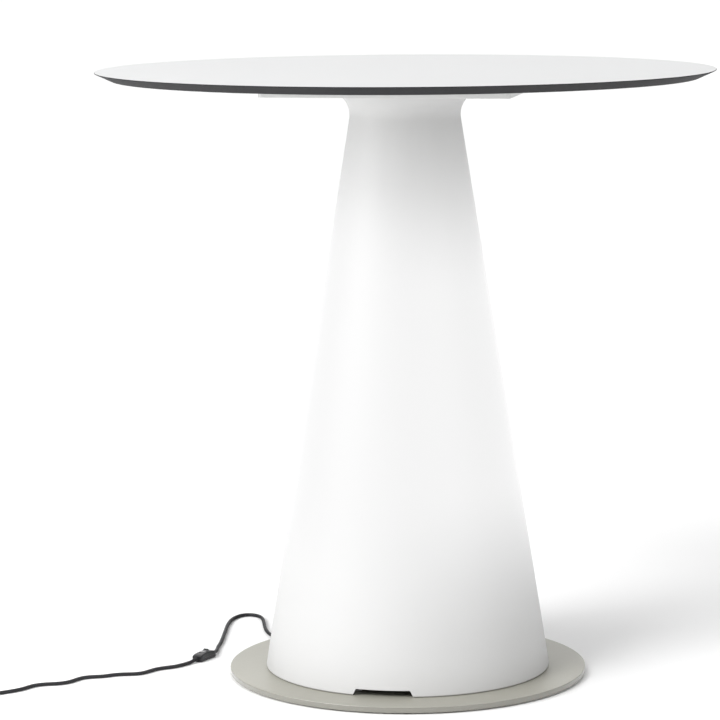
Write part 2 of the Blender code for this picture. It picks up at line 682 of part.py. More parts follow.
def make_led_boards(board_white):
    """A board on each side of the post, with a row of LEDs on it."""
    face = POST_WIDTH / 2 + CLEAR
    low, high = POST_BOTTOM + BOARD_MARGIN, POST_TOP - BOARD_MARGIN
    half = BOARD_WIDTH / 2
    pitch = (high - low) / LED_COUNT
    top = face + BOARD_THICKNESS
    root = top - BOARD_THICKNESS / 2
    size = LED_SIZE / 2
    for side, name in enumerate(("right", "back", "left", "front")):
        turn = Matrix.Rotation(side * math.pi / 2, 4, "Z")
        panel = block((face, -half, low), (top, half, high))
        board = add_object("led_board_" + name, panel, board_white, turn)
        leds = bmesh.new()
        places = [Matrix.Translation((0, 0, low + pitch * (i + 1 / 2))) for i in range(LED_COUNT)]
        stamp(leds, block((root, -size, -size), (top + LED_HEIGHT, size, size)), places)
        combine(board, leds, "UNION", turn)


def make_driver(white_plastic, zinc):
    """LED driver: a potted case with a screw ear at each end."""
    half = DRIVER_LENGTH / 2
    ear = half + DRIVER_EAR
    low = BASE_TOP + CLEAR
    shelf, high = low + DRIVER_EAR_HEIGHT, low + DRIVER_HEIGHT
    outline = [(-ear, low), (ear, low), (ear, shelf), (half, shelf), (half, high), (-half, high),
               (-half, shelf), (-ear, shelf)]
    case = prism(outline, DRIVER_WIDTH, Matrix.Translation((0, DRIVER_Y, 0)))
    driver = add_object("led_driver", case, white_plastic)
    bevel(driver, DRIVER_EDGE)
    ears, clamp = small_screw_places()
    holes = bmesh.new()
    places = [Matrix.Translation((x, y, low)) for x, y in ears]
    stamp(holes, drill(SMALL_SCREW_RADIUS + SCREW_CLEAR, -OVERRUN, DRIVER_EAR_HEIGHT + OVERRUN), places)
    combine(driver, holes, "DIFFERENCE")
    flip = Matrix.Rotation(math.pi, 4, "X")
    head = (SMALL_SCREW_HEAD_RADIUS, SMALL_SCREW_HEAD_HEIGHT)
    screw = pan_screw(SMALL_SCREW_RADIUS, SMALL_SCREW_LENGTH, *head)
    seats = [Matrix.Translation((x, y, shelf + CLEAR)) @ flip for x, y in ears]
    copies("driver_screw", screw, seats, zinc)
    screw = pan_screw(SMALL_SCREW_RADIUS, SMALL_SCREW_BORE, *head)
    seat = BASE_TOP + CLEAR + CLAMP_THICKNESS + CLEAR
    seats = [Matrix.Translation((x, y, seat)) @ flip for x, y in clamp]
    copies("clamp_screw", screw, seats, zinc)


def make_clamp(black):
    """Saddle that holds the strain relief down on the base plate."""
    inner = BUSH_RADIUS + CLEAR
    outer = inner + CLAMP_THICKNESS
    half = CLAMP_WIDTH / 2
    low = BASE_TOP + CLEAR
    shelf = low + CLAMP_THICKNESS
    over = arc((0, BUSH_Z), outer, 0, math.pi)
    under = arc((0, BUSH_Z), inner, math.pi, 0)
    outline = [(half, low), (half, shelf), (outer, shelf)] + over
    outline += [(-outer, shelf), (-half, shelf), (-half, low), (-inner, low)] + under + [(inner, low)]
    place = Matrix.Rotation(CORD_ANGLE - math.pi / 2, 4, "Z") @ Matrix.Translation((0, CLAMP_CIRCLE, 0))
    clamp = add_object("cord_clamp", prism(outline, CLAMP_DEPTH, place), black)
    ears, screws = small_screw_places()
    holes = bmesh.new()
    places = [Matrix.Translation((x, y, low)) for x, y in screws]
    stamp(holes, drill(SMALL_SCREW_RADIUS + SCREW_CLEAR, -OVERRUN, CLAMP_THICKNESS + OVERRUN), places)
    combine(clamp, holes, "DIFFERENCE")


def exit_direction():
    return Vector((math.cos(CORD_ANGLE), math.sin(CORD_ANGLE), 0))


def exit_point(distance):
    """A point on the strain relief's axis, at a distance from the column's axis."""
    return exit_direction() * distance + Vector((0, 0, BUSH_Z))


def make_bush(black):
    """Strain relief: straight under the clamp, then tapered towards the cord."""
    straight = BUSH_LENGTH - BUSH_TAPER
    profile = [(BUSH_RADIUS, 0), (BUSH_RADIUS, straight), (BUSH_TIP_RADIUS, BUSH_LENGTH)]
    aim = exit_direction().to_track_quat("Z", "Y").to_matrix().to_4x4()
    place = Matrix.Translation(exit_point(BUSH_START)) @ aim
    add_object("cord_strain_relief", turned(profile, ROD_SEGMENTS), black, place)


def smooth_path(points, step):
    """Evenly spaced points on a natural cubic curve through the route's points, never below the floor."""
    knots = np.array([tuple(point) for point in points])
    run = np.linalg.norm(np.diff(knots, axis=0), axis=1)
    at = np.concatenate(([0.0], np.cumsum(run)))
    count = len(knots)
    system = np.eye(count)
    right = np.zeros((count, 3))
    for i in range(1, count - 1):
        system[i, i - 1:i + 2] = (run[i - 1], 2 * (run[i - 1] + run[i]), run[i])
        right[i] = 6 * ((knots[i + 1] - knots[i]) / run[i] - (knots[i] - knots[i - 1]) / run[i - 1])
    bend = np.linalg.solve(system, right)
    fine = np.linspace(0, at[-1], count * 40)
    index = np.clip(np.searchsorted(at, fine, side="right") - 1, 0, count - 2)
    left, width = (fine - at[index])[:, None], run[index][:, None]
    rest = width - left
    curve = (bend[index] * rest ** 3 + bend[index + 1] * left ** 3) / (6 * width)
    curve += (knots[index] / width - bend[index] * width / 6) * rest
    curve += (knots[index + 1] / width - bend[index + 1] * width / 6) * left
    curve[:, 2] = np.maximum(curve[:, 2], np.minimum(CORD_LIE, min(curve[0, 2], curve[-1, 2])))
    length = np.concatenate(([0.0], np.cumsum(np.linalg.norm(np.diff(curve, axis=0), axis=1))))
    places = np.linspace(0, length[-1], round(length[-1] / step) + 1)
    return [Vector([np.interp(place, length, curve[:, axis]) for axis in range(3)]) for place in places]


def make_tube(name, points, diameter, material, resolution=2):
    """A round tube along a line of points, with closed ends."""
    curve = bpy.data.curves.new(name, "CURVE")
    curve.dimensions = "3D"
    curve.bevel_depth = diameter / 2
    curve.bevel_resolution = resolution
    curve.use_fill_caps = True
    spline = curve.splines.new("POLY")
    spline.points.add(len(points) - 1)
    for target, point in zip(spline.points, points):
        target.co = (*point, 1.0)
    curve.materials.append(material)
    obj = bpy.data.objects.new(name, curve)
    bpy.context.scene.collection.objects.link(obj)
    length = sum((b - a).length for a, b in zip(points, points[1:]))
    print(f"{name}: {length:.4f} m")


def make_inner_leads(black, white):
    """Mains lead from the strain relief to the driver, and the low-voltage lead up to the post."""
    inward = -exit_direction()
    start = exit_point(BUSH_START) + inward * CLEAR
    lead = INNER_LEAD_DIAMETER
    height = BASE_TOP + CLEAR + DRIVER_HEIGHT / 2
    half = DRIVER_LENGTH / 2 + CLEAR
    left = Vector((-half, DRIVER_Y, height))
    back = Vector((-1, 0, 0))
    route = [start, start + inward * lead, start + inward * lead * 4]
    route += [left + back * lead * 4, left + back * lead, left]
    make_tube("mains_lead_inside", smooth_path(route, 2.5 * lead), lead, black)
    right = Vector((half, DRIVER_Y, height))
    front = POST_WIDTH / 2 - lead
    top = Vector((front, front, POST_BOTTOM - COLLAR_FLANGE - 2 * CLEAR))
    away, up = Vector((1, 0, 0)), Vector((0, 0, 1))
    corner = right + away * lead * 5
    bow = corner + Vector((0, -DRIVER_WIDTH * 0.75, lead * 2))
    turn = (bow + top) / 2 - up * lead * 2
    route = [right, right + away * lead, corner, bow, turn, top - up * lead * 5, top - up * lead, top]
    make_tube("led_lead", smooth_path(route, 2.5 * lead), lead, white)


def switch_place():
    return Matrix.Translation((SWITCH_X, SWITCH_Y, 0)) @ Matrix.Rotation(SWITCH_ANGLE, 4, "Z")


def switch_sections(upper):
    """Rings of one half of the switch's housing, from one cord end to the other."""
    rings = []
    for along, wide, tall in SWITCH_STATION_SHARES:
        x = along * SWITCH_LENGTH / 2
        half = wide * SWITCH_WIDTH / 2
        if upper:
            low = SWITCH_PARTING + CLEAR
            rise = tall * SWITCH_HEIGHT - low
            right = [(x, half * across, low + rise * up) for across, up in SWITCH_DOME_SHARES]
        else:
            inset = half - SWITCH_CHAMFER
            low = SWITCH_BOTTOM
            right = [(x, half, SWITCH_PARTING), (x, half, low + SWITCH_CHAMFER), (x, inset, low)]
        left = [(px, -py, pz) for px, py, pz in reversed(right)]
        rings.append(right + left)
    return rings


def make_switch(black, rocker_black, brass, steel):
    """Inline switch: two housing halves, a rocker on its pin, and the contacts below it."""
    place = switch_place()
    pocket = SWITCH_POCKET_LENGTH / 2
    well = ROCKER_WIDTH / 2 + CLEAR
    base = add_object("switch_base", skin(switch_sections(False)), black, place)
    floor = SWITCH_BOTTOM + SWITCH_WALL
    inside = block((-pocket, -well, floor), (pocket, well, SWITCH_PARTING + OVERRUN))
    combine(base, inside, "DIFFERENCE", place)
    cover = add_object("switch_cover", skin(switch_sections(True)), black, place)
    below, above = SWITCH_PARTING - OVERRUN, SWITCH_HEIGHT + OVERRUN
    opening = block((-ROCKER_WELL, -well, below), (ROCKER_WELL, well, above))
    combine(cover, opening, "DIFFERENCE", place)
    across = Matrix.Rotation(math.pi / 2, 4, "X")
    pivot = place @ Matrix.Translation((0, 0, SWITCH_PIVOT_Z))
    reach = PIN_LENGTH / 2 + CLEAR
    combine(cover, drill(PIN_RADIUS + CLEAR, -reach, reach), "DIFFERENCE", pivot @ across)
    pin = drill(PIN_RADIUS, -PIN_LENGTH / 2, PIN_LENGTH / 2)
    add_object("switch_pin", pin, steel, pivot @ across)
    end = ROCKER_LENGTH / 2
    foot = end + ROCKER_FLARE
    outline = [(-end, ROCKER_END), (-foot, ROCKER_SKIRT), (-ROCKER_BOSS, -ROCKER_BOSS),
               (ROCKER_BOSS, -ROCKER_BOSS), (foot, ROCKER_SKIRT), (end, ROCKER_END), (0, ROCKER_VALLEY)]
    tilted = pivot @ Matrix.Rotation(-ROCKER_TILT, 4, "Y")
    rocker = add_object("switch_rocker", prism(outline, ROCKER_WIDTH), rocker_black, tilted)
    combine(rocker, drill(PIN_RADIUS + CLEAR, -ROCKER_WIDTH, ROCKER_WIDTH), "DIFFERENCE", tilted @ across)
    low = floor + CLEAR
    high = low + TERMINAL_HEIGHT
    half_length, half_width = TERMINAL_LENGTH / 2, TERMINAL_WIDTH / 2
    terminal = block((-half_length, -half_width, low), (half_length, half_width, high))
    places = [place @ Matrix.Translation((side * TERMINAL_OFFSET, 0, 0)) for side in (-1, 1)]
    copies("switch_terminal", terminal, places, brass)
    low = high + CLEAR
    half_length, half_width = LEAF_LENGTH / 2, LEAF_WIDTH / 2
    leaf = block((-half_length, -half_width, low), (half_length, half_width, low + LEAF_THICKNESS))
    add_object("switch_contact_leaf", leaf, brass, place)


def switch_end(side):
    """The point just outside the switch's end, and the direction that leads away from it."""
    direction = Vector((math.cos(SWITCH_ANGLE), math.sin(SWITCH_ANGLE), 0)) * side
    centre = Vector((SWITCH_X, SWITCH_Y, SWITCH_CORD_Z))
    return centre + direction * (SWITCH_LENGTH / 2 + CLEAR), direction


def on_floor(points):
    return [Vector((x, y, CORD_LIE)) for x, y in points]


def make_table_cord(black):
    """From the strain relief over the base plate's rim, round a loop on the floor, to the switch."""
    start = exit_point(BUSH_START + BUSH_LENGTH + CLEAR)
    end, away = switch_end(1)
    route = [start, start + exit_direction() * CORD_DIAMETER] + [Vector(point) for point in CORD_DROP]
    route += on_floor(CORD_LOOP) + [end + away * CORD_DIAMETER, end]
    make_tube("cord_table_to_switch", smooth_path(route, CORD_STEP), CORD_DIAMETER, black)


def coil_start():
    """Where the coil's tube begins, and the direction in which it runs there."""
    outer = COIL_RADIUS + COIL_PITCH * coil_half_turns() / 2
    turn = COIL_ENTRY_ANGLE
    along = Vector((math.sin(turn), -math.cos(turn), 0))
    touch = Vector((COIL_X + outer * math.cos(turn), COIL_Y + outer * math.sin(turn), CORD_LIE))
    return touch - along * CORD_DIAMETER, along


def coil_half_turns():
    """Turns in each of the coil's two layers."""
    return (COIL_TURNS + (COIL_ENTRY_ANGLE - COIL_EXIT_ANGLE) / (2 * math.pi)) / 2


def coil_points():
    """Clockwise in to the middle on the lower layer, up a layer, out again, then on to the plug."""
    half = coil_half_turns()
    count = round(2 * half * COIL_POINTS_PER_TURN)
    start, along = coil_start()
    points = [start]
    inner = COIL_RADIUS - COIL_PITCH * half / 2
    for i in range(count + 1):
        turned_by = 2 * half * i / count - half
        radius = inner + COIL_PITCH * abs(turned_by)
        climb = min(max(turned_by * 2 + 0.5, 0.0), 1.0)
        height = CORD_LIE + COIL_PITCH * climb * climb * (3 - 2 * climb)
        angle = COIL_ENTRY_ANGLE - 2 * math.pi * (turned_by + half)
        points.append(Vector((COIL_X + radius * math.cos(angle), COIL_Y + radius * math.sin(angle), height)))
    last = points[-1]
    tip = Vector((last.x, last.y + COIL_TAIL, PLUG_Z))
    points += [tip - Vector((0, CORD_DIAMETER, 0)), tip]
    return points


def least_gap(points, diameter):
    """Least distance between two stretches of one tube that lie a turn apart, skin to skin."""
    least = math.inf
    skip = COIL_POINTS_PER_TURN // 3
    for i, point in enumerate(points):
        for j in range(i + skip, len(points) - 1):
            a, b = points[j], points[j + 1]
            along = (b - a).normalized()
            foot = a + along * min(max((point - a).dot(along), 0), (b - a).length)
            least = min(least, (point - foot).length - diameter)
    return least


def make_wall_cord(black):
    """From the switch along the floor to the coil, the coil itself and the plug's end of the cord."""
    start, away = switch_end(-1)
    coil, along = coil_start()
    end = coil - along * CLEAR
    route = [start, start + away * CORD_DIAMETER] + on_floor(CORD_RUN) + [end - along * 3 * CORD_DIAMETER,
                                                                         end - along * CORD_DIAMETER, end]
    make_tube("cord_switch_to_coil", smooth_path(route, CORD_STEP), CORD_DIAMETER, black)
    points = coil_points()
    make_tube("cord_coil", points, CORD_DIAMETER, black, 1)
    print(f"coil: least gap to itself {1000 * least_gap(points, CORD_DIAMETER):.2f} mm")
    return points[-1]


def make_plug(black, nickel, tip):
    """Two-pin plug on the floor beside the coil: strain relief, body and pins, along +Y."""
    upright = Matrix.Rotation(-math.pi / 2, 4, "X")
    seat = tip.y + CLEAR
    place = Matrix.Translation((tip.x, seat, PLUG_Z)) @ upright
    ribs = 4
    profile = []
    for i in range(2 * ribs):
        share = i / (2 * ribs - 1)
        radius = RELIEF_TIP_RADIUS + (RELIEF_RADIUS - RELIEF_TIP_RADIUS) * share - RELIEF_GROOVE * (i % 2)
        profile.append((radius, RELIEF_LENGTH * share))
    add_object("plug_strain_relief", turned(profile, ROD_SEGMENTS), black, place)
    rear = seat + RELIEF_LENGTH + CLEAR
    front = rear + PLUG_LENGTH
    rings = []
    for along, wide, tall in PLUG_STATION_SHARES:
        y = front - along * PLUG_LENGTH
        rings.append([(tip.x + across * wide * PLUG_WIDTH / 2, y, PLUG_Z + up * tall * PLUG_HEIGHT / 2)
                      for across, up in PLUG_OUTLINE_SHARES])
    add_object("plug_body", skin(rings), black)
    taper = PLUG_PIN_RADIUS / 2
    pin = [(PLUG_PIN_RADIUS, 0), (PLUG_PIN_RADIUS, PLUG_PIN_LENGTH - taper), (taper, PLUG_PIN_LENGTH)]
    places = [Matrix.Translation((tip.x + side * PLUG_PIN_SPACING / 2, front + CLEAR, PLUG_Z)) @ upright
              for side in (-1, 1)]
    copies("plug_pin", turned(pin, HOLE_SEGMENTS), places, nickel)


def clear_scene():
    for obj in list(bpy.data.objects):
        bpy.data.objects.remove(obj, do_unlink=True)


def main():
    clear_scene()
    laminate = make_material("white_laminate", (0.86, 0.87, 0.88), 0.35)
    white_steel = make_material("white_steel", (0.88, 0.88, 0.87), 0.4)
    polyethylene = make_material("lit_polyethylene", (0.93, 0.93, 0.91), 0.45, glow=0.6)
    paint = make_material("warm_grey_paint", (0.52, 0.51, 0.45), 0.42)
    black = make_material("black_plastic", (0.02, 0.02, 0.021), 0.5)
    cord_black = make_material("cord_black", (0.018, 0.018, 0.02), 0.55)
    rocker_black = make_material("rocker_black", (0.03, 0.03, 0.032), 0.3)
    white_plastic = make_material("white_plastic", (0.85, 0.85, 0.84), 0.5)
    zinc = make_material("zinc_steel", (0.62, 0.63, 0.64), 0.35, 1.0)
    cast = make_material("cast_aluminium", (0.66, 0.67, 0.68), 0.5, 1.0)
    aluminium = make_material("aluminium_profile", (0.75, 0.76, 0.77), 0.3, 1.0)
    brass = make_material("brass", (0.72, 0.56, 0.28), 0.3, 1.0)
    board_white = make_material("led_board", (0.90, 0.89, 0.80), 0.4, glow=1.0)
    nickel = make_material("nickel", (0.78, 0.77, 0.74), 0.25, 1.0)
    make_table_top(laminate)
    make_inserts(brass)
    make_top_screws(zinc)
    make_top_plate(white_steel)
    make_hub_screws(zinc)
    make_hub(cast)
    make_column(polyethylene)
    make_base_plate(paint)
    make_glides(black)
    make_foot_screws(zinc)
    make_tie_rod(zinc)
    make_led_post(aluminium, black)
    make_led_boards(board_white)
    make_driver(white_plastic, zinc)
    make_clamp(black)
    make_bush(black)
    make_inner_leads(cord_black, white_plastic)
    make_switch(black, rocker_black, brass, zinc)
    make_table_cord(cord_black)
    make_plug(black, nickel, make_wall_cord(cord_black))


main()
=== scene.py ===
"""Looks of a round table with a lit column.

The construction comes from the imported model. This file gives each piece its finish, makes finer
surfaces for the pieces that show, and lays the cord. Metres, +Z up.
"""
import json
import math

import bmesh
import bpy
import numpy as np
from mathutils import Matrix, Vector

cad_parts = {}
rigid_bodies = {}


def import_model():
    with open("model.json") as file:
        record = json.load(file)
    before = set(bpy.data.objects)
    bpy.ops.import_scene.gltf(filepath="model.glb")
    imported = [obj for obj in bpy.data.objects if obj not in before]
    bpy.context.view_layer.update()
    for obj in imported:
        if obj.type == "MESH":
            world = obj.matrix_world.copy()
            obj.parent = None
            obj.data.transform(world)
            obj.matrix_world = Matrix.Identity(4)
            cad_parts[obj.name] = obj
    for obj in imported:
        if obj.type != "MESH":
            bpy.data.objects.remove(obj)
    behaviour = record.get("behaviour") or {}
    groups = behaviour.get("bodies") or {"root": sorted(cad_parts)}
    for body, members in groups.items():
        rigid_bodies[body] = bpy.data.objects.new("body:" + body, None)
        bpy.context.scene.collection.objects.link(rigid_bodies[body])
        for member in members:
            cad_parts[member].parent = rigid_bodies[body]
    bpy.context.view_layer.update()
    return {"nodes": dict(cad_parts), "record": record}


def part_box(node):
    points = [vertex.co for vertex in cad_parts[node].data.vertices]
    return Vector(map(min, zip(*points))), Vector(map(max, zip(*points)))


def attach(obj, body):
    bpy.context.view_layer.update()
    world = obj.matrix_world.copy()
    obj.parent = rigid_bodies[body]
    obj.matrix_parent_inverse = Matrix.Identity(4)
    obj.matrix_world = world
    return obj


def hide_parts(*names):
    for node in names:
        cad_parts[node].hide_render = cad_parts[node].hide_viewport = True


bl_info = {
    "name": "Lit Column Table",
    "version": (1, 0, 0),
    "blender": (4, 5, 0),
    "location": "View3D > Sidebar > Lit Table",
    "description": "Dresses a round table with a lit column: laminate, plastic, painted steel and cord",
    "category": "Add Mesh",
}

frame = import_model()
SLOTS = {part["node"]: part["material_slot"] for part in frame["record"]["subparts"]}

QUARTER = math.pi / 2
CLEAR = 0.0003               # between two parts that touch
OVERRUN = 0.003              # how far a cutter runs past its wall
SMOOTH_ANGLE = math.radians(32)
SMALL_SEGMENTS = 40          # faces round a screw or a strain relief
PAD_SEGMENTS = 48            # round a glide or a countersink
PIN_SEGMENTS = 32            # round a plug's pin or a drilled hole
BORE_SEGMENTS = 20           # round the rocker's bore
LEVEL_SHARE = 0.999          # upright share of a normal on a level face

# Camera of the photograph: place and aim in the model's frame
PHOTO_TURN = math.radians(10)
CAMERA_DISTANCE = 3.823
CAMERA_HEIGHT = 0.944
CAMERA_PITCH = math.radians(8.25)
CAMERA_YAW = math.radians(0.85)
CAMERA_ROLL = math.radians(-0.4)
CAMERA_LENS_MM = 157.5
CAMERA_REACH = 400.0
SENSOR_MM = 36.0

# Soft lights far away: name, side seen from above in the photograph (0 right, 90 behind), height,
# strength and spread
FAR_LIGHTS = (
    ("front_left_light", 225, 37, 1.76, 26),
    ("front_right_light", 315, 22, 1.03, 50),
    ("back_light", 90, 22, 0.77, 50),
    ("overhead_light", 0, 89, 0.98, 50),
)
SIDE_LIGHT_ANGLE = 203       # a soft box close to the left side
SIDE_LIGHT_DISTANCE = 1.6
SIDE_LIGHT_HEIGHT = 0.9
SIDE_LIGHT_SIZE = 1.0
SIDE_LIGHT_AIM = 0.35

# Table top and its square plate
TOP_LOW, TOP_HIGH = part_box("table_top")
TOP_RADIUS = TOP_HIGH.x
TOP_LAND = 0.0009            # upright band at the rim, above the under-bevel
TOP_BEVEL_INSET = 0.020
INSERT_RADIUS = 0.0042
INSERT_DEPTH = 0.0071
PLATE_LOW, PLATE_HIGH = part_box("top_plate")
PLATE_THICKNESS = 0.003
PLATE_CORNER = 0.006
PLATE_BEND = 0.002
PLATE_LIP = 0.0004
SCREW_HOLE_RADIUS = 0.003
PLATE_SCREW_OFFSET = 0.125
PAN_SHANK_SHARE = 0.52       # of a pan head's radius
PAN_ROUND_SHARE = 0.7        # of its height

# Column
COLUMN_LOW, COLUMN_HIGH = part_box("column")
FOOT_RADIUS = 0.1755
COLUMN_WALL = 0.005
FOOT_EDGE = 0.002
FOOT_FLANGE_WIDTH = 0.024
NECK_RADIUS = 0.0675
FLARE_RADIUS = 0.0244        # of the inside of the flare, at the wall's outer face
OUTER_FLARE_RADIUS = 0.029   # of the outside, where the moulded corner is thicker
FLARE_STEPS = 24
NECK_FLANGE_RADIUS = 0.098
NECK_FLANGE_EDGE = 0.0006
NOTCH_ANGLES = (-90, 30, 150)
NOTCH_TOP_WIDTH = 0.066
NOTCH_FOOT_WIDTH = 0.074
NOTCH_HEIGHT = 0.008
NOTCH_CORNER = 0.0012
NOTCH_CORNER_SHARES = ((0.21, 0.2401), (0.09, 0.0441))  # points of its round, in and down as shares of it
INSIDE_SHARE = -0.2          # outward share of a normal, below which a face is on the inside

# Base plate and its glides
BASE_LOW, BASE_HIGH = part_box("base_plate")
BASE_EDGE = 0.001
WALL_SHARE = 0.5             # upright share of a normal, below which a rim face is the wall
SINK_CLEAR = CLEAR * 5 / 3   # round a countersunk head
GLIDE_DISH_SHARE = 0.62      # of a glide's radius
BOLT_HEAD_RADIUS = 0.0095
FOOT_SCREW_HEAD_RADIUS = 0.005
FOOT_SCREW_CIRCLE = 0.161
FOOT_SCREW_TURN = 60         # degrees on from each notch
FLAT_EDGE_SHARE = 0.05       # of a screw head's radius, as are the next two
SOCKET_DEPTH_SHARE = 0.4
SOCKET_WIDTH_SHARE = 0.42

# Cord, strain relief, switch and plug
CORD_DIAMETER = 0.0045
CORD_RADIUS = CORD_DIAMETER / 2
CORD_ANGLE = math.radians(NOTCH_ANGLES[2])
CORD_LIE = CORD_RADIUS + CLEAR
ROUTE_STEPS = 40             # steps between two points of a route when it is measured
BUSH_RADIUS = 0.0034
BUSH_TIP_RADIUS = 0.0027
BUSH_START = 0.128           # from the column's axis
BUSH_LENGTH = 0.058
BUSH_TAPER = 0.022
BUSH_GROOVES = 5
BUSH_PITCHES = BUSH_GROOVES + 0.5   # the tip stays plain
BUSH_STEPS = ((0.30, 0), (0.42, 1), (0.68, 1), (0.80, 0))
BUSH_GROOVE_DEPTH = 0.0005
BUSH_Z = BASE_HIGH.z + CLEAR + BUSH_RADIUS
SWITCH_X = -0.2634
SWITCH_Y = 0.0132
SWITCH_ANGLE = math.radians(72)
SWITCH_LENGTH = 0.036
SWITCH_WIDTH = 0.0136
SWITCH_HEIGHT = 0.0104
SWITCH_PARTING = 0.0042
SWITCH_WALL = 0.0015
SWITCH_CHAMFER = 0.0011
SWITCH_EDGE = 0.0003
SWITCH_POCKET_LENGTH = 0.022
SWITCH_DOME_POWER = 7.0      # how square the upper shell's section is
ROCKER_LENGTH = 0.0124
ROCKER_WIDTH = 0.0066
ROCKER_VALLEY = 0.003
ROCKER_DIP = 0.0003
ROCKER_SKIRT = 0.001
ROCKER_FLARE = 0.0004
ROCKER_BOSS = 0.0022
ROCKER_EDGE = 0.0002
ROCKER_STEPS = 14
ROCKER_TILT = math.radians(9.5)
PIN_RADIUS = 0.001
PLUG_WIDTH = 0.0353
PLUG_HEIGHT = 0.0137
PLUG_LENGTH = 0.034
PLUG_EDGE = 0.0007
PLUG_DOME_POWER = 3.0
PLUG_PIN_RADIUS = 0.002
PLUG_PIN_LENGTH = 0.019
PLUG_PIN_SPACING = 0.0186
PLUG_Z = PLUG_HEIGHT / 2 + CLEAR
RELIEF_LENGTH = 0.022
RELIEF_RADIUS = 0.0042
RELIEF_TIP_RADIUS = 0.0030
RELIEF_GROOVE = 0.0006
RELIEF_RIBS = 4
RELIEF_PITCHES = RELIEF_RIBS - 0.1  # its last groove ends at the plug
RELIEF_STEPS = ((0.0, 0), (0.45, 0), (0.55, 1), (0.90, 1))
COIL_X = -0.518
COIL_Y = -0.204
COIL_RADIUS = 0.027
COIL_PITCH = 0.0051
COIL_TURNS = 6
COIL_ENTRY_ANGLE = math.radians(-49.5)
COIL_EXIT_ANGLE = math.radians(-180)
COIL_POINTS_PER_TURN = 24
COIL_TAIL = 0.014
TIE_THICKNESS = 0.0006
TIE_LIE = CLEAR * 2 / 3      # the tie's underside above the floor
TIE_ANGLE = math.radians(100)
TIE_REACH = 0.65 * CORD_DIAMETER    # from the middle of the outermost turn to the tie's outside

STATION_BLEND = 0.04         # of a housing's length, over which its sections are evened out
# Sections of the switch, as shares of its half length, width and height
SWITCH_STATION_SHARES = (
    (-1.00, 0.86, 0.72), (-0.96, 0.96, 0.80), (-0.80, 1.00, 0.88), (-0.45, 0.92, 0.97), (0.00, 0.87, 1.00),
    (0.45, 0.92, 0.97), (0.80, 1.00, 0.88), (0.96, 0.96, 0.80), (1.00, 0.86, 0.72),
)
SWITCH_CORD_Z = SWITCH_HEIGHT * SWITCH_STATION_SHARES[0][2] / 2
# Sections of the plug from its pins back to the cord, as shares of its length, width and height
PLUG_STATION_SHARES = (
    (0.00, 0.95, 0.92), (0.04, 1.00, 1.00), (0.34, 1.00, 1.00), (0.66, 0.76, 0.96), (0.92, 0.46, 0.84),
    (1.00, 0.38, 0.74),
)

# The cord's route: from the notch over the base plate's rim and down
CORD_DROP = (
    (-0.1746, 0.1021, 0.0124), (-0.1859, 0.1134, 0.0118), (-0.1951, 0.1265, 0.0078),
    (-0.2026, 0.1396, 0.0040),
)
# Along the floor, round its loop, to the switch
CORD_LOOP = (
    (-0.2091, 0.1515), (-0.2156, 0.1651), (-0.2213, 0.1808), (-0.2270, 0.2002), (-0.2326, 0.2209),
    (-0.2380, 0.2375), (-0.2444, 0.2492), (-0.2515, 0.2552), (-0.2603, 0.2572), (-0.2676, 0.2540),
    (-0.2737, 0.2435), (-0.2768, 0.2266), (-0.2762, 0.2047), (-0.2732, 0.1789), (-0.2695, 0.1541),
    (-0.2648, 0.1219), (-0.2607, 0.0904), (-0.2580, 0.0630),
)
# Along the floor from the switch to the coil
CORD_RUN = (
    (-0.2742, -0.0160), (-0.2801, -0.0280), (-0.2880, -0.0394), (-0.3004, -0.0494), (-0.3112, -0.0628),
    (-0.3172, -0.0754), (-0.3250, -0.0832), (-0.3404, -0.0882), (-0.3530, -0.0942), (-0.3630, -0.1022),
    (-0.3748, -0.1070), (-0.3858, -0.1140), (-0.3922, -0.1264), (-0.3972, -0.1370), (-0.4078, -0.1466),
    (-0.4236, -0.1530), (-0.4358, -0.1636), (-0.4428, -0.1782), (-0.4534, -0.1919), (-0.4655, -0.2038),
)


class LitTableTopSettings(bpy.types.PropertyGroup):
    """Sizes and colours of the table top and its plate."""
    segments: bpy.props.IntProperty(
        name="Segments", description="Faces round the table top", default=288, min=48)
    edge_break: bpy.props.FloatProperty(
        name="Edge break", description="Radius of the fine break on the laminate's edges",
        default=0.0004, unit="LENGTH", precision=4)
    face_colour: bpy.props.FloatVectorProperty(
        name="Face colour", description="White laminate on both faces",
        default=(0.660, 0.664, 0.666), size=3, subtype="COLOR", min=0, max=1)
    core_colour: bpy.props.FloatVectorProperty(
        name="Core colour", description="Dark core that shows at the rim",
        default=(0.024, 0.024, 0.026), size=3, subtype="COLOR", min=0, max=1)
    plate_colour: bpy.props.FloatVectorProperty(
        name="Plate colour", description="White powder coat on the square plate",
        default=(0.575, 0.575, 0.568), size=3, subtype="COLOR", min=0, max=1)


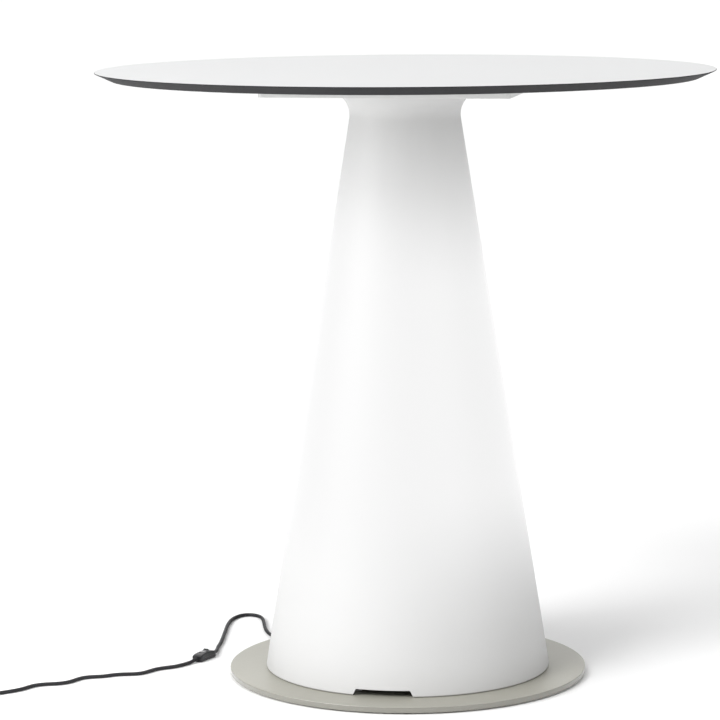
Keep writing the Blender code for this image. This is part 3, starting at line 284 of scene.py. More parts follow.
class LitColumnSettings(bpy.types.PropertyGroup):
    """Sizes, colours and light of the column."""
    segments: bpy.props.IntProperty(
        name="Segments", description="Faces round the column", default=192, min=48)
    plastic_colour: bpy.props.FloatVectorProperty(
        name="Plastic colour", description="Milky polyethylene when it isn't lit",
        default=(0.605, 0.605, 0.602), size=3, subtype="COLOR", min=0, max=1)
    glow_colour: bpy.props.FloatVectorProperty(
        name="Glow colour", description="Light that comes through the wall",
        default=(0.815, 0.815, 0.815), size=3, subtype="COLOR", min=0, max=1)
    # Painted shade: the wall's colour where it glows, far darker than the plastic, so the lamps' shading
    # barely shows there
    painted_lit_colour: bpy.props.FloatVectorProperty(
        name="Lit colour", description="What the wall still reflects where light passes through it",
        default=(0.055, 0.055, 0.055), size=3, subtype="COLOR", min=0, max=1)
    glow_low: bpy.props.FloatProperty(
        name="Glow from", description="Height below which the wall is dark", default=0.05, unit="LENGTH")
    glow_full_low: bpy.props.FloatProperty(
        name="Full glow from", description="Height above which the wall glows fully",
        default=0.26, unit="LENGTH")
    glow_full_high: bpy.props.FloatProperty(
        name="Full glow to", description="Height up to which the wall glows fully",
        default=0.47, unit="LENGTH")
    glow_high: bpy.props.FloatProperty(
        name="Glow to", description="Height above which the wall is dark", default=0.70, unit="LENGTH")


class LitBaseSettings(bpy.types.PropertyGroup):
    """Sizes and colours of the base plate."""
    segments: bpy.props.IntProperty(
        name="Segments", description="Faces round the base plate", default=256, min=48)
    paint_colour: bpy.props.FloatVectorProperty(
        name="Paint colour", description="Warm grey powder coat",
        default=(0.360, 0.352, 0.305), size=3, subtype="COLOR", min=0, max=1)
    # Painted shade: the factor that darkens the paint on the plate's upright wall
    painted_wall_darkening: bpy.props.FloatProperty(
        name="Wall shade", description="How much light the paint keeps on the plate's upright wall",
        default=0.64, min=0, max=1)


class LitCordSettings(bpy.types.PropertyGroup):
    """Colours and fineness of the cord, its switch and its plug."""
    bevel_steps: bpy.props.IntProperty(
        name="Cord roundness", description="Steps in the cord's round section", default=4, min=1)
    cord_colour: bpy.props.FloatVectorProperty(
        name="Cord colour", description="Black cord sheath",
        default=(0.014, 0.014, 0.016), size=3, subtype="COLOR", min=0, max=1)
    plastic_colour: bpy.props.FloatVectorProperty(
        name="Plastic colour", description="Black moulded plastic of switch, plug and strain reliefs",
        default=(0.011, 0.011, 0.013), size=3, subtype="COLOR", min=0, max=1)
    tie_width: bpy.props.FloatProperty(
        name="Tie width", description="Width of the band that holds the coil",
        default=0.010, unit="LENGTH", precision=4)


class LitStageSettings(bpy.types.PropertyGroup):
    """Floor and light."""
    floor_colour: bpy.props.FloatVectorProperty(
        name="Floor colour", description="Pale floor",
        default=(0.97, 0.97, 0.97), size=3, subtype="COLOR", min=0, max=1)
    floor_size: bpy.props.FloatProperty(
        name="Floor size", description="Side of the floor", default=160.0, unit="LENGTH")
    sky_strength: bpy.props.FloatProperty(
        name="Sky strength", description="Even light from all round", default=0.20)
    far_strength: bpy.props.FloatProperty(
        name="Far lights", description="Level of the soft lights far away", default=1.0)
    side_power: bpy.props.FloatProperty(
        name="Side light", description="Power of the soft box at the left", default=15.5, unit="POWER")


class Wiring:
    """Adds nodes to a tree and links them, one short call each."""

    def __init__(self, tree):
        self.tree = tree

    def node(self, kind, **settings):
        made = self.tree.nodes.new("ShaderNode" + kind)
        for key, value in settings.items():
            setattr(made, key, value)
        return made

    def link(self, source, target):
        self.tree.links.new(source, target)

    def feed(self, sockets, **values):
        """Link each named socket, or set its own value."""
        for label, value in values.items():
            socket = sockets[label.replace("_", " ")]
            if isinstance(value, bpy.types.NodeSocket):
                self.link(value, socket)
            elif socket.type == "RGBA" and len(value) == 3:
                socket.default_value = (*value, 1.0)
            else:
                socket.default_value = value

    def math(self, operation, *values, clamp=False):
        made = self.node("Math", operation=operation, use_clamp=clamp)
        for socket, value in zip(made.inputs, values):
            if isinstance(value, bpy.types.NodeSocket):
                self.link(value, socket)
            else:
                socket.default_value = value
        return made.outputs[0]

    def swing(self, mask, amount):
        """A mask turned into a swing to both sides of zero."""
        return self.math("MULTIPLY", self.math("SUBTRACT", mask, 0.5), amount)

    def noise(self, vector, scale, detail=2.0, roughness=0.5):
        made = self.node("TexNoise")
        self.feed(made.inputs, Vector=vector, Scale=scale, Detail=detail, Roughness=roughness)
        return made.outputs["Fac"]

    def spread(self, value, low, high, to_low=0.0, to_high=1.0, kind="LINEAR"):
        """Map a value's range onto another, held at both ends."""
        made = self.node("MapRange", clamp=True, interpolation_type=kind)
        self.feed(made.inputs, Value=value, From_Min=low, From_Max=high, To_Min=to_low, To_Max=to_high)
        return made.outputs["Result"]

    def mix(self, share, first, second):
        made = self.node("Mix", data_type="RGBA")
        self.feed(made.inputs, Factor=share, A=first, B=second)
        return made.outputs["Result"]

    def shade(self, colour, factor):
        """A colour made lighter or darker by a factor."""
        made = self.node("VectorMath", operation="SCALE")
        self.link(colour, made.inputs[0])
        self.feed(made.inputs, Scale=factor)
        return made.outputs[0]

    def stretch(self, vector, scale):
        """Coordinates scaled along each axis by its own factor."""
        made = self.node("VectorMath", operation="MULTIPLY")
        for socket, value in zip(made.inputs, (vector, scale)):
            self.link(value, socket)
        return made.outputs[0]

    def place(self):
        """The object's own coordinates."""
        return self.node("TexCoord").outputs["Object"]

    def z_of(self, vector):
        split = self.node("SeparateXYZ")
        self.link(vector, split.inputs[0])
        return split.outputs["Z"]


GREY = (0.5, 0.5, 0.5, 1)
SURFACE = ("Colour", "Roughness", "Height")


def new_group(name, inputs, outputs):
    """A shader node group: its wiring, what it is given, what it puts out, and the coordinates."""
    group = bpy.data.node_groups.new(name, "ShaderNodeTree")
    for label, default in inputs.items():
        count = len(default) if isinstance(default, tuple) else 1
        kind = {1: "NodeSocketFloat", 3: "NodeSocketVector", 4: "NodeSocketColor"}[count]
        socket = group.interface.new_socket(label, in_out="INPUT", socket_type=kind)
        socket.default_value = default
    for label in outputs:
        kind = "NodeSocketColor" if label == "Colour" else "NodeSocketFloat"
        group.interface.new_socket(label, in_out="OUTPUT", socket_type=kind)
    wiring = Wiring(group)
    given, out = group.nodes.new("NodeGroupInput").outputs, group.nodes.new("NodeGroupOutput").inputs
    return wiring, given, out, wiring.place()


def make_moulded_group():
    """Injection-moulded plastic: a fine spark-eroded grain with a slow unevenness in gloss."""
    wiring, given, out, place = new_group(
        "moulded_plastic",
        {"Colour": GREY, "Grain Scale": 900.0, "Roughness": 0.5, "Unevenness": 0.08}, SURFACE)
    grain = wiring.noise(place, given["Grain Scale"], 1.0, 0.4)
    factor = wiring.math("MULTIPLY_ADD", wiring.noise(place, 22.0, 3.0, 0.55), given["Unevenness"], 0.96)
    rough = wiring.math("ADD", given["Roughness"], wiring.swing(grain, 0.16), clamp=True)
    wiring.feed(out, Colour=wiring.shade(given["Colour"], factor), Roughness=rough, Height=grain)


def make_powder_group():
    """Powder coat: the soft orange peel of the melted powder, with a fine speckle in colour and gloss."""
    wiring, given, out, place = new_group(
        "powder_coat", {"Colour": GREY, "Peel Scale": 420.0, "Roughness": 0.45, "Speckle": 0.1}, SURFACE)
    peel = wiring.noise(place, given["Peel Scale"], 2.0, 0.45)
    lift = wiring.swing(wiring.noise(place, 2600.0, 0.0), given["Speckle"])
    cloud = wiring.noise(place, 9.0, 2.0)
    factor = wiring.math("ADD", wiring.math("ADD", lift, wiring.swing(cloud, 0.04)), 1.0)
    rough = wiring.math("ADD", given["Roughness"], wiring.swing(cloud, 0.12), clamp=True)
    wiring.feed(out, Colour=wiring.shade(given["Colour"], factor), Roughness=rough, Height=peel)


def make_metal_group():
    """Bare metal: fine marks drawn along one axis over a soft cloud of tarnish."""
    wiring, given, out, place = new_group(
        "worked_metal",
        {"Colour": (0.6, 0.6, 0.6, 1), "Mark Scale": (900.0, 900.0, 40.0), "Roughness": 0.35,
         "Tarnish": 0.15}, SURFACE)
    marks = wiring.noise(wiring.stretch(place, given["Mark Scale"]), 1.0, 2.0)
    stain = wiring.math("MULTIPLY", wiring.noise(place, 60.0, 4.0, 0.6), given["Tarnish"])
    rough = wiring.math("ADD", given["Roughness"], wiring.swing(marks, 0.25))
    rough = wiring.math("ADD", rough, wiring.math("MULTIPLY", stain, 0.5), clamp=True)
    colour = wiring.shade(given["Colour"], wiring.math("SUBTRACT", 1.05, stain))
    wiring.feed(out, Colour=colour, Roughness=rough, Height=marks)


def make_dust_group():
    """Light dust on faces that look up."""
    wiring, given, out, place = new_group(
        "settled_dust", {"Colour": GREY, "Dust Colour": (0.6, 0.58, 0.55, 1), "Amount": 0.06}, ("Colour",))
    upward = wiring.spread(wiring.z_of(wiring.node("NewGeometry").outputs["Normal"]), 0.2, 1.0)
    patch = wiring.spread(wiring.noise(place, 120.0, 5.0, 0.7), 0.42, 0.75)
    share = wiring.math("MULTIPLY", wiring.math("MULTIPLY", upward, patch), given["Amount"])
    wiring.feed(out, Colour=wiring.mix(share, given["Colour"], given["Dust Colour"]))


def make_glow_group():
    """Light through the column's wall: full beside the LED boards and fading above and below them."""
    wiring, given, out, place = new_group(
        "glow_by_height",
        {"Glow Colour": (1, 1, 1, 1), "From": 0.05, "Full From": 0.2, "Full To": 0.5, "To": 0.7},
        ("Colour", "Mask"))
    height = wiring.z_of(place)
    rise = wiring.spread(height, given["From"], given["Full From"], kind="SMOOTHSTEP")
    fall = wiring.spread(height, given["Full To"], given["To"], 1.0, 0.0, kind="SMOOTHSTEP")
    cloud = wiring.spread(wiring.noise(place, 14.0, 2.0), 0.3, 0.7, 0.985, 1.0)
    mask = wiring.math("MULTIPLY", wiring.math("MULTIPLY", rise, fall), cloud)
    wiring.feed(out, Colour=wiring.shade(given["Glow Colour"], mask), Mask=mask)


GROUP_MAKERS = {
    "moulded_plastic": make_moulded_group,
    "powder_coat": make_powder_group,
    "worked_metal": make_metal_group,
    "settled_dust": make_dust_group,
    "glow_by_height": make_glow_group,
}


def place_group(wiring, name, **values):
    """Put a shared group, made on its first use, into a material's tree with its own values."""
    if name not in bpy.data.node_groups:
        GROUP_MAKERS[name]()
    made = wiring.node("Group", node_tree=bpy.data.node_groups[name])
    wiring.feed(made.inputs, **values)
    return made.outputs


def new_material(name, colour, **sockets):
    """A material with its shader's constant sockets set."""
    material = bpy.data.materials.new(name)
    material.use_nodes = True
    material.diffuse_color = (*colour, 1.0)
    shader, wiring = material.node_tree.nodes["Principled BSDF"], Wiring(material.node_tree)
    wiring.feed(shader.inputs, **sockets)
    return material, shader, wiring


def start_material(name, group, colour, bump, depth, values, sockets):
    """A material whose colour, roughness and bump come from a shared group."""
    material, shader, wiring = new_material(name, colour, **sockets)
    made = place_group(wiring, group, Colour=colour, **values)
    relief = wiring.node("Bump")
    wiring.feed(relief.inputs, Strength=bump, Distance=depth, Height=made["Height"])
    wiring.feed(shader.inputs, Base_Color=made["Colour"], Roughness=made["Roughness"],
                Normal=relief.outputs["Normal"])
    return material, shader, wiring, made, relief


def core_material(colour):
    """Black phenolic core, sawn and polished, with faint layers along the rim."""
    material, shader, wiring, made, relief = start_material(
        "laminate_core", "moulded_plastic", colour, 0.1, 0.0001,
        {"Grain_Scale": 700.0, "Roughness": 0.58, "Unevenness": 0.12}, {"Specular_IOR_Level": 0.1})
    thin = wiring.node("Mapping")
    wiring.feed(thin.inputs, Vector=wiring.place(), Scale=(6.0, 6.0, 5200.0))
    layers = wiring.noise(thin.outputs["Vector"], 1.0, 1.0)
    factor = wiring.spread(layers, 0.3, 0.7, 0.88, 1.12)
    wiring.feed(shader.inputs, Base_Color=wiring.shade(made["Colour"], factor))
    wiring.feed(relief.inputs, Height=layers)
    return material


def column_material(settings):
    """Milky polyethylene, lit from inside; its colour is darkened where it glows, as painted shade."""
    material, shader, wiring, made, _ = start_material(
        "lit_column", "moulded_plastic", tuple(settings.plastic_colour), 0.12, 0.0003,
        {"Grain_Scale": 520.0, "Roughness": 0.5, "Unevenness": 0.02},
        {"Emission_Strength": 1.0, "Specular_IOR_Level": 0.4})
    glow = place_group(
        wiring, "glow_by_height", Glow_Colour=tuple(settings.glow_colour), From=settings.glow_low,
        Full_From=settings.glow_full_low, Full_To=settings.glow_full_high, To=settings.glow_high)
    # Painted shade: where the wall glows, its colour darkens towards the lit colour
    surface = wiring.mix(glow["Mask"], made["Colour"], tuple(settings.painted_lit_colour))
    wiring.feed(shader.inputs, Emission_Color=glow["Colour"], Base_Color=surface)
    return material


def board_material():
    """White LED board, with its LEDs lit."""
    material, shader, wiring, made, _ = start_material(
        "led_board_lit", "moulded_plastic", (0.90, 0.89, 0.80), 0.08, 0.0001,
        {"Grain_Scale": 1500.0, "Roughness": 0.35}, {"Emission_Strength": 0.4})
    wiring.feed(shader.inputs, Emission_Color=made["Colour"])
    return material


def finishes(scene):
    """Each plain finish: material, group, colour, bump strength and depth, dust, group's values, sockets."""
    top, base, cord = scene.lit_table_top, scene.lit_table_base, scene.lit_table_cord
    # The wall's paint darkened by a factor: painted shade
    wall = [channel * base.painted_wall_darkening for channel in base.paint_colour]
    metal, matt = {"Metallic": 1.0}, {"Specular_IOR_Level": 0.15}
    return {
        # A fine pressed texture, satin
        "white_laminate": ("laminate_face", "powder_coat", top.face_colour, 0.12, 0.0002, 0,
                           {"Peel_Scale": 650.0, "Roughness": 0.5, "Speckle": 0.02}, matt),
        # Smooth white powder coat
        "white_steel": ("plate_powder", "powder_coat", top.plate_colour, 0.25, 0.0002, 0,
                        {"Peel_Scale": 500.0, "Roughness": 0.42, "Speckle": 0.03}, {}),
        # The same plastic as the column's outside, darkened as painted shade for its inside
        "column_inside_painted_shade": ("column_inside_painted_shade", "moulded_plastic", (0.16, 0.16, 0.155), 0.2, 0.0003, 0,
                          {"Grain_Scale": 520.0}, {}),
        # Coarser powder coat with a fine speckle
        "warm_grey_paint": ("base_powder", "powder_coat", base.paint_colour, 0.3, 0.0002, 0.05,
                            {"Peel_Scale": 380.0, "Roughness": 0.46, "Speckle": 0.16}, {}),
        # The same coat on the plate's wall, glossier, and darkened there as painted shade
        "base_wall_painted_shade": ("base_wall_painted_shade", "powder_coat", wall, 0.3, 0.0002, 0,
                      {"Peel_Scale": 380.0, "Roughness": 0.40, "Speckle": 0.16},
                      {"Coat_Weight": 1.0, "Coat_Roughness": 0.15}),
        # Fine spark-eroded moulding
        "black_plastic": ("black_moulding", "moulded_plastic", cord.plastic_colour, 0.3, 0.0002, 0.05,
                          {"Grain_Scale": 2200.0, "Roughness": 0.36}, {}),
        # Soft matt sheath
        "cord_black": ("cord_sheath", "moulded_plastic", cord.cord_colour, 0.2, 0.0002, 0.04,
                       {"Grain_Scale": 1500.0, "Roughness": 0.6, "Unevenness": 0.2},
                       {"Specular_IOR_Level": 0.35}),
        # Polished, with a clear coat
        "rocker_black": ("rocker_gloss", "moulded_plastic", (0.022, 0.022, 0.024), 0.1, 0.0001, 0,
                         {"Grain_Scale": 1800.0, "Roughness": 0.24},
                         {"Coat_Weight": 0.4, "Coat_Roughness": 0.12}),
        # Plain white moulding
        "white_plastic": ("white_moulding", "moulded_plastic", (0.80, 0.80, 0.79), 0.2, 0.0002, 0,
                          {"Grain_Scale": 1400.0, "Roughness": 0.5}, {}),
        # Bright zinc with a little tarnish
        "zinc_steel": ("zinc_plate", "worked_metal", (0.60, 0.61, 0.63), 0.15, 0.0001, 0,
                       {"Roughness": 0.34, "Tarnish": 0.22}, metal),
        # Rough casting, the same in every direction
        "cast_aluminium": ("cast_aluminium", "worked_metal", (0.62, 0.63, 0.64), 0.35, 0.0003, 0,
                           {"Mark_Scale": (600.0, 600.0, 600.0), "Roughness": 0.52, "Tarnish": 0.2}, metal),
        # Drawn along its length
        "aluminium_profile": ("drawn_aluminium", "worked_metal", (0.75, 0.76, 0.77), 0.1, 0.0001, 0,
                              {"Mark_Scale": (1500.0, 1500.0, 12.0), "Roughness": 0.3, "Tarnish": 0.08},
                              metal),
        # Turned, with rings round the upright axis
        "brass": ("turned_brass", "worked_metal", (0.72, 0.55, 0.27), 0.15, 0.0001, 0,
                  {"Mark_Scale": (60.0, 60.0, 2400.0), "Roughness": 0.28, "Tarnish": 0.25}, metal),
        # Smooth plating with faint marks across the pin
        "nickel": ("nickel_plate", "worked_metal", (0.74, 0.73, 0.70), 0.08, 0.0001, 0,
                   {"Mark_Scale": (1200.0, 60.0, 1200.0), "Roughness": 0.2, "Tarnish": 0.1}, metal),
    }


def plain_material(name, group, colour, bump, depth, dust, values, sockets):
    """A plain finish, with dust over its colour where it lies."""
    material, shader, wiring, made, _ = start_material(
        name, group, tuple(colour), bump, depth, values, sockets)
    if dust:
        settled = place_group(wiring, "settled_dust", Colour=made["Colour"], Amount=dust)
        wiring.feed(shader.inputs, Base_Color=settled["Colour"])
    return material


MATERIALS = {}


def material_for(slot):
    """The finish of a record slot, made on its first use."""
    scene = bpy.context.scene
    makers = {
        "laminate_core": lambda: core_material(tuple(scene.lit_table_top.core_colour)),
        "lit_polyethylene": lambda: column_material(scene.lit_table_column),
        "led_board": board_material,
    }
    if slot not in MATERIALS:
        MATERIALS[slot] = makers[slot]() if slot in makers else plain_material(*finishes(scene)[slot])
    return MATERIALS[slot]


def finish_nodes(*names):
    """Give CAD nodes that stay the finish of their own slots."""
    for name in names:
        node = frame["nodes"][name]
        node.data.materials.clear()
        node.data.materials.append(material_for(SLOTS[name]))


def numbered(stem, count):
    return [f"{stem}_{number}" for number in range(1, count + 1)]


def at(x, y, z=0):
    return Matrix.Translation((x, y, z))


def add_object(name, data):
    """A new object in the scene."""
    obj = bpy.data.objects.new(name, data)
    bpy.context.scene.collection.objects.link(obj)
    return obj


def mesh_from(bm, name):
    """Turn a bmesh into a mesh whose faces look outward."""
    bmesh.ops.recalc_face_normals(bm, faces=bm.faces)
    mesh = bpy.data.meshes.new(name)
    bm.to_mesh(mesh)
    bm.free()
    return mesh


def smooth(mesh):
    mesh.shade_smooth()
    mesh.set_sharp_from_angle(angle=SMOOTH_ANGLE)


def add_piece(name, bm, slot, body="root", nodes=(), place=None, extra=()):
    """Turn a bmesh into a shaded piece that rides on a body and stands for its CAD nodes."""
    mesh = mesh_from(bm, name)
    for finish in (slot, *extra):
        mesh.materials.append(material_for(finish))
    smooth(mesh)
    obj = add_object(name, mesh)
    if place:
        obj.matrix_world = place
    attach(obj, body)
    if nodes:
        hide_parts(*nodes)
    return obj


def cut(obj, tool, place=None):
    """Cut a tool solid out of a piece for good."""
    guide = add_object(obj.name + "_tool", mesh_from(tool, obj.name + "_tool"))
    guide.matrix_world = place or Matrix.Identity(4)
    obj.modifiers.new("Cut", "BOOLEAN").object = guide
    bpy.context.view_layer.update()
    mesh = bpy.data.meshes.new_from_object(obj.evaluated_get(bpy.context.evaluated_depsgraph_get()))
    obj.modifiers.clear()
    old = obj.data
    obj.data = mesh
    mesh.name = obj.name
    bpy.data.meshes.remove(old)
    smooth(mesh)
    bpy.data.objects.remove(guide)


def round_edges(obj, width, segments=2):
    """A small round on a piece's sharp edges."""
    modifier = obj.modifiers.new("Round", "BEVEL")
    modifier.width = width
    modifier.segments = segments
    modifier.limit_method = "ANGLE"
    modifier.angle_limit = SMOOTH_ANGLE
    modifier.harden_normals = True


def even_shading(obj):
    """Keep broad flat faces flat where small rounds meet them."""
    obj.modifiers.new("Even shading", "WEIGHTED_NORMAL").keep_sharp = True


def skin(rings, closed=False):
    """Faces between rings of equal count; closed joins the last ring to the first, else both get caps."""
    bm = bmesh.new()
    loops = [[bm.verts.new(point) for point in ring] for ring in rings]
    pairs = list(zip(loops, loops[1:]))
    if closed:
        pairs.append((loops[-1], loops[0]))
    else:
        bm.faces.new(loops[0])
        bm.faces.new(loops[-1])
    for low, high in pairs:
        for i in range(len(low)):
            j = (i + 1) % len(low)
            bm.faces.new((low[i], low[j], high[j], high[i]))
    return bm


def turned(profile, segments, closed=False):
    """Turn a profile of (radius, z) points about the Z axis."""
    angles = [2 * math.pi * i / segments for i in range(segments)]
    return skin([[(r * math.cos(a), r * math.sin(a), z) for a in angles] for r, z in profile], closed)


def drill(radius, low, high, segments=PIN_SEGMENTS):
    return turned([(radius, low), (radius, high)], segments)


def block(low, high):
    """A box between two corners."""
    (x0, y0, z0), (x1, y1, z1) = low, high
    return skin([[(x0, y0, z), (x1, y0, z), (x1, y1, z), (x0, y1, z)] for z in (z0, z1)])


def arc(centre, radius, start, end, steps):
    """Points on an arc in a profile's plane, angles from its first axis."""
    turns = [start + (end - start) * i / steps for i in range(steps + 1)]
    return [(centre[0] + radius * math.cos(t), centre[1] + radius * math.sin(t)) for t in turns]


def round_corners(low, high, radius, steps):
    """A rectangle with round corners, given the lowest and the highest of their centres."""
    (x0, y0), (x1, y1) = low, high
    return [point for i, centre in enumerate(((x1, y1), (x0, y1), (x0, y0), (x1, y0)))
            for point in arc(centre, radius, QUARTER * i, QUARTER * (i + 1), steps)]


def mirrored(side, middle=()):
    """The points of one side, those in the middle, and the side's mirror images across Y in reverse."""
    return [*side, *middle, *((x, -y, z) for x, y, z in reversed(side))]


def ribbed(count, pitches, steps, radii, groove, start, length):
    """Profile of a tapered strain relief; each step is a share of a pitch, and 1 in a groove or 0."""
    first, last = radii
    profile = []
    for i in range(count):
        for share, deep in steps:
            along = (i + share) / pitches
            radius = first + (last - first) * along - deep * groove
            profile.append((max(radius, CORD_RADIUS + CLEAR / 2), start + length * along))
    return profile


def stamped(*patterns):
    """One bmesh with a copy of each pattern solid at each of its places."""
    target = bmesh.new()
    for pattern, places in patterns:
        mesh = mesh_from(pattern, "pattern")
        for place in places:
            copy = mesh.copy()
            copy.transform(place)
            target.from_mesh(copy)
            bpy.data.meshes.remove(copy)
        bpy.data.meshes.remove(mesh)
    return target


def plate_screw_places():
    sides = (-PLATE_SCREW_OFFSET, PLATE_SCREW_OFFSET)
    return [at(x, y) for x in sides for y in sides]


def foot_screw_places(z):
    turns = [math.radians(angle + FOOT_SCREW_TURN) for angle in NOTCH_ANGLES]
    return [at(FOOT_SCREW_CIRCLE * math.cos(t), FOOT_SCREW_CIRCLE * math.sin(t), z) for t in turns]


def round_node(name):
    """A round CAD node's lowest and highest z, its radius, and its place in x and y."""
    low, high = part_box(name)
    centre = (low + high) / 2
    return low.z, high.z, (high.x - low.x) / 2, at(centre.x, centre.y)


class LIT_OT_table_top(bpy.types.Operator):
    """Make the laminate table top: white faces, a dark core at the rim and the bevel below it"""
    bl_idname = "lit.table_top"
    bl_label = "Table top"

    def execute(self, context):
        settings = context.scene.lit_table_top
        edge = settings.edge_break
        low, high = TOP_LOW.z, TOP_HIGH.z
        face_radius = TOP_RADIUS - TOP_BEVEL_INSET
        slope = math.atan2(high - TOP_LAND - low, TOP_BEVEL_INSET)
        profile = arc((TOP_RADIUS - edge, high - edge), edge, QUARTER, 0, 4)
        profile += [(TOP_RADIUS, high - TOP_LAND + edge),
                    (TOP_RADIUS - edge * math.tan(slope / 2), high - TOP_LAND),
                    (face_radius + edge * math.cos(slope), low + edge * math.sin(slope)),
                    (face_radius - edge, low)]
        top = add_piece("table_top_laminate", turned(profile, settings.segments), "white_laminate",
                        nodes=["table_top"], extra=["laminate_core"])
        bore = drill(INSERT_RADIUS + CLEAR, low - OVERRUN, low + INSERT_DEPTH)
        cut(top, stamped((bore, plate_screw_places())))
        for face in top.data.polygons:
            face.material_index = 0 if abs(face.normal.z) > LEVEL_SHARE else 1
        even_shading(top)
        finish_nodes(*numbered("threaded_insert", 4))
        return {"FINISHED"}


class LIT_OT_top_plate(bpy.types.Operator):
    """Make the pressed square plate under the top"""
    bl_idname = "lit.top_plate"
    bl_label = "Square plate"

    def execute(self, context):
        low, high = PLATE_LOW.z, PLATE_HIGH.z
        thick, lip, bend = PLATE_THICKNESS, PLATE_LIP, PLATE_BEND
        under = high - thick
        inner = thick / 2
        profile = arc((thick + inner, under - inner), inner, QUARTER, 2 * QUARTER, 6)
        profile += [(thick, low + lip), (thick - lip, low), (lip, low), (0, low + lip)]
        profile += arc((bend, high - bend), bend, 2 * QUARTER, QUARTER, 6)
        plate = add_piece("square_plate", skin([self.ring(*point) for point in profile]), "white_steel",
                          nodes=["top_plate"])
        hole = drill(SCREW_HOLE_RADIUS, under - OVERRUN, high + OVERRUN)
        cut(plate, stamped((hole, plate_screw_places())))
        even_shading(plate)
        finish_nodes(*numbered("hub_screw", 3))
        return {"FINISHED"}

    def ring(self, offset, z):
        """The plate's square outline with round corners, drawn in by an offset."""
        centre = PLATE_HIGH.x - PLATE_CORNER
        radius = max(PLATE_CORNER - offset, CLEAR)
        return [(x, y, z) for x, y in round_corners((-centre, -centre), (centre, centre), radius, 8)]


def flare_arc(flare, radius, lean):
    """Points up the flare, from where its slanted wall ends: the flare's own radius sets its centre."""
    centre, height = NECK_RADIUS + flare, COLUMN_HIGH.z - COLUMN_WALL - flare
    turns = [-lean + (QUARTER + lean) * i / FLARE_STEPS for i in range(FLARE_STEPS + 1)]
    return [(centre - radius * math.cos(t), height + radius * math.sin(t)) for t in turns]


def wall_lean(flare):
    """Angle of the slanted wall from the vertical, where it runs from the foot to touch the flare."""
    rise = COLUMN_HIGH.z - COLUMN_WALL - flare - COLUMN_LOW.z
    run = FOOT_RADIUS - NECK_RADIUS - flare
    return math.asin(flare / math.hypot(rise, run)) + math.atan2(run, rise)


class LIT_OT_column(bpy.types.Operator):
    """Make the moulded column with its flared neck and its three cord notches"""
    bl_idname = "lit.column"
    bl_label = "Lit column"

    def execute(self, context):
        settings = context.scene.lit_table_column
        column = add_piece("lit_column", turned(self.profile(), settings.segments, True), "lit_polyethylene",
                           nodes=["column"], extra=["column_inside_painted_shade"])
        turns = [Matrix.Rotation(math.radians(angle), 4, "Z") for angle in NOTCH_ANGLES]
        cut(column, stamped((self.notch(), turns)))
        # Faces on the inside take the darkened plastic: painted shade
        for face in column.data.polygons:
            outward = Vector((face.center.x, face.center.y, 0)).normalized()
            face.material_index = 1 if face.normal.dot(outward) < INSIDE_SHARE else 0
        even_shading(column)
        return {"FINISHED"}

    def profile(self):
        """Half section: up the outside, over the neck flange and down the inside."""
        low, top, under = COLUMN_LOW.z, COLUMN_HIGH.z, COLUMN_HIGH.z - COLUMN_WALL
        lean, inner_lean = wall_lean(OUTER_FLARE_RADIUS), wall_lean(FLARE_RADIUS)
        side = FOOT_RADIUS - FOOT_EDGE * math.tan(lean)
        foot = arc((side - FOOT_EDGE, low + FOOT_EDGE), FOOT_EDGE, -QUARTER, 0, 6)
        outer = flare_arc(OUTER_FLARE_RADIUS, OUTER_FLARE_RADIUS, lean)
        edge = NECK_FLANGE_EDGE
        rim = NECK_FLANGE_RADIUS - edge
        flange = arc((rim, under + edge), edge, -QUARTER, 0, 3) + arc((rim, top - edge), edge, 0, QUARTER, 3)
        inner = flare_arc(FLARE_RADIUS, FLARE_RADIUS + COLUMN_WALL, inner_lean)[::-1]
        flange_top, flange_inner = low + COLUMN_WALL, FOOT_RADIUS - FOOT_FLANGE_WIDTH
        wall_foot = inner[-1][0] + math.tan(inner_lean) * (inner[-1][1] - flange_top)
        return foot + outer + flange + inner + [(wall_foot, flange_top), (flange_inner, flange_top),
                                                (flange_inner, low)]

    def notch(self):
        """Cutter for one notch, at +X: a low trapezoid with small rounds at its upper corners."""
        low, high = COLUMN_LOW.z - OVERRUN, COLUMN_LOW.z + NOTCH_HEIGHT
        slant = (NOTCH_FOOT_WIDTH - NOTCH_TOP_WIDTH) / 2 / NOTCH_HEIGHT
        narrow, corner = NOTCH_TOP_WIDTH / 2, NOTCH_CORNER
        right = [(NOTCH_FOOT_WIDTH / 2 + slant * OVERRUN, low), (narrow + slant * corner, high - corner)]
        right += [(narrow - corner * share, high - corner * fall) for share, fall in NOTCH_CORNER_SHARES]
        right += [(narrow - corner, high)]
        inside = FOOT_RADIUS - FOOT_FLANGE_WIDTH - OVERRUN
        return skin([mirrored([(x, y, z) for y, z in right]) for x in (inside, FOOT_RADIUS + OVERRUN)])


class LIT_OT_neck_hub(bpy.types.Operator):
    """Finish the hub in the neck, the tie rod and what holds them"""
    bl_idname = "lit.neck_hub"
    bl_label = "Hub and tie rod"

    def execute(self, context):
        finish_nodes("neck_hub", "tie_rod", "lock_washer", "lock_nut")
        return {"FINISHED"}


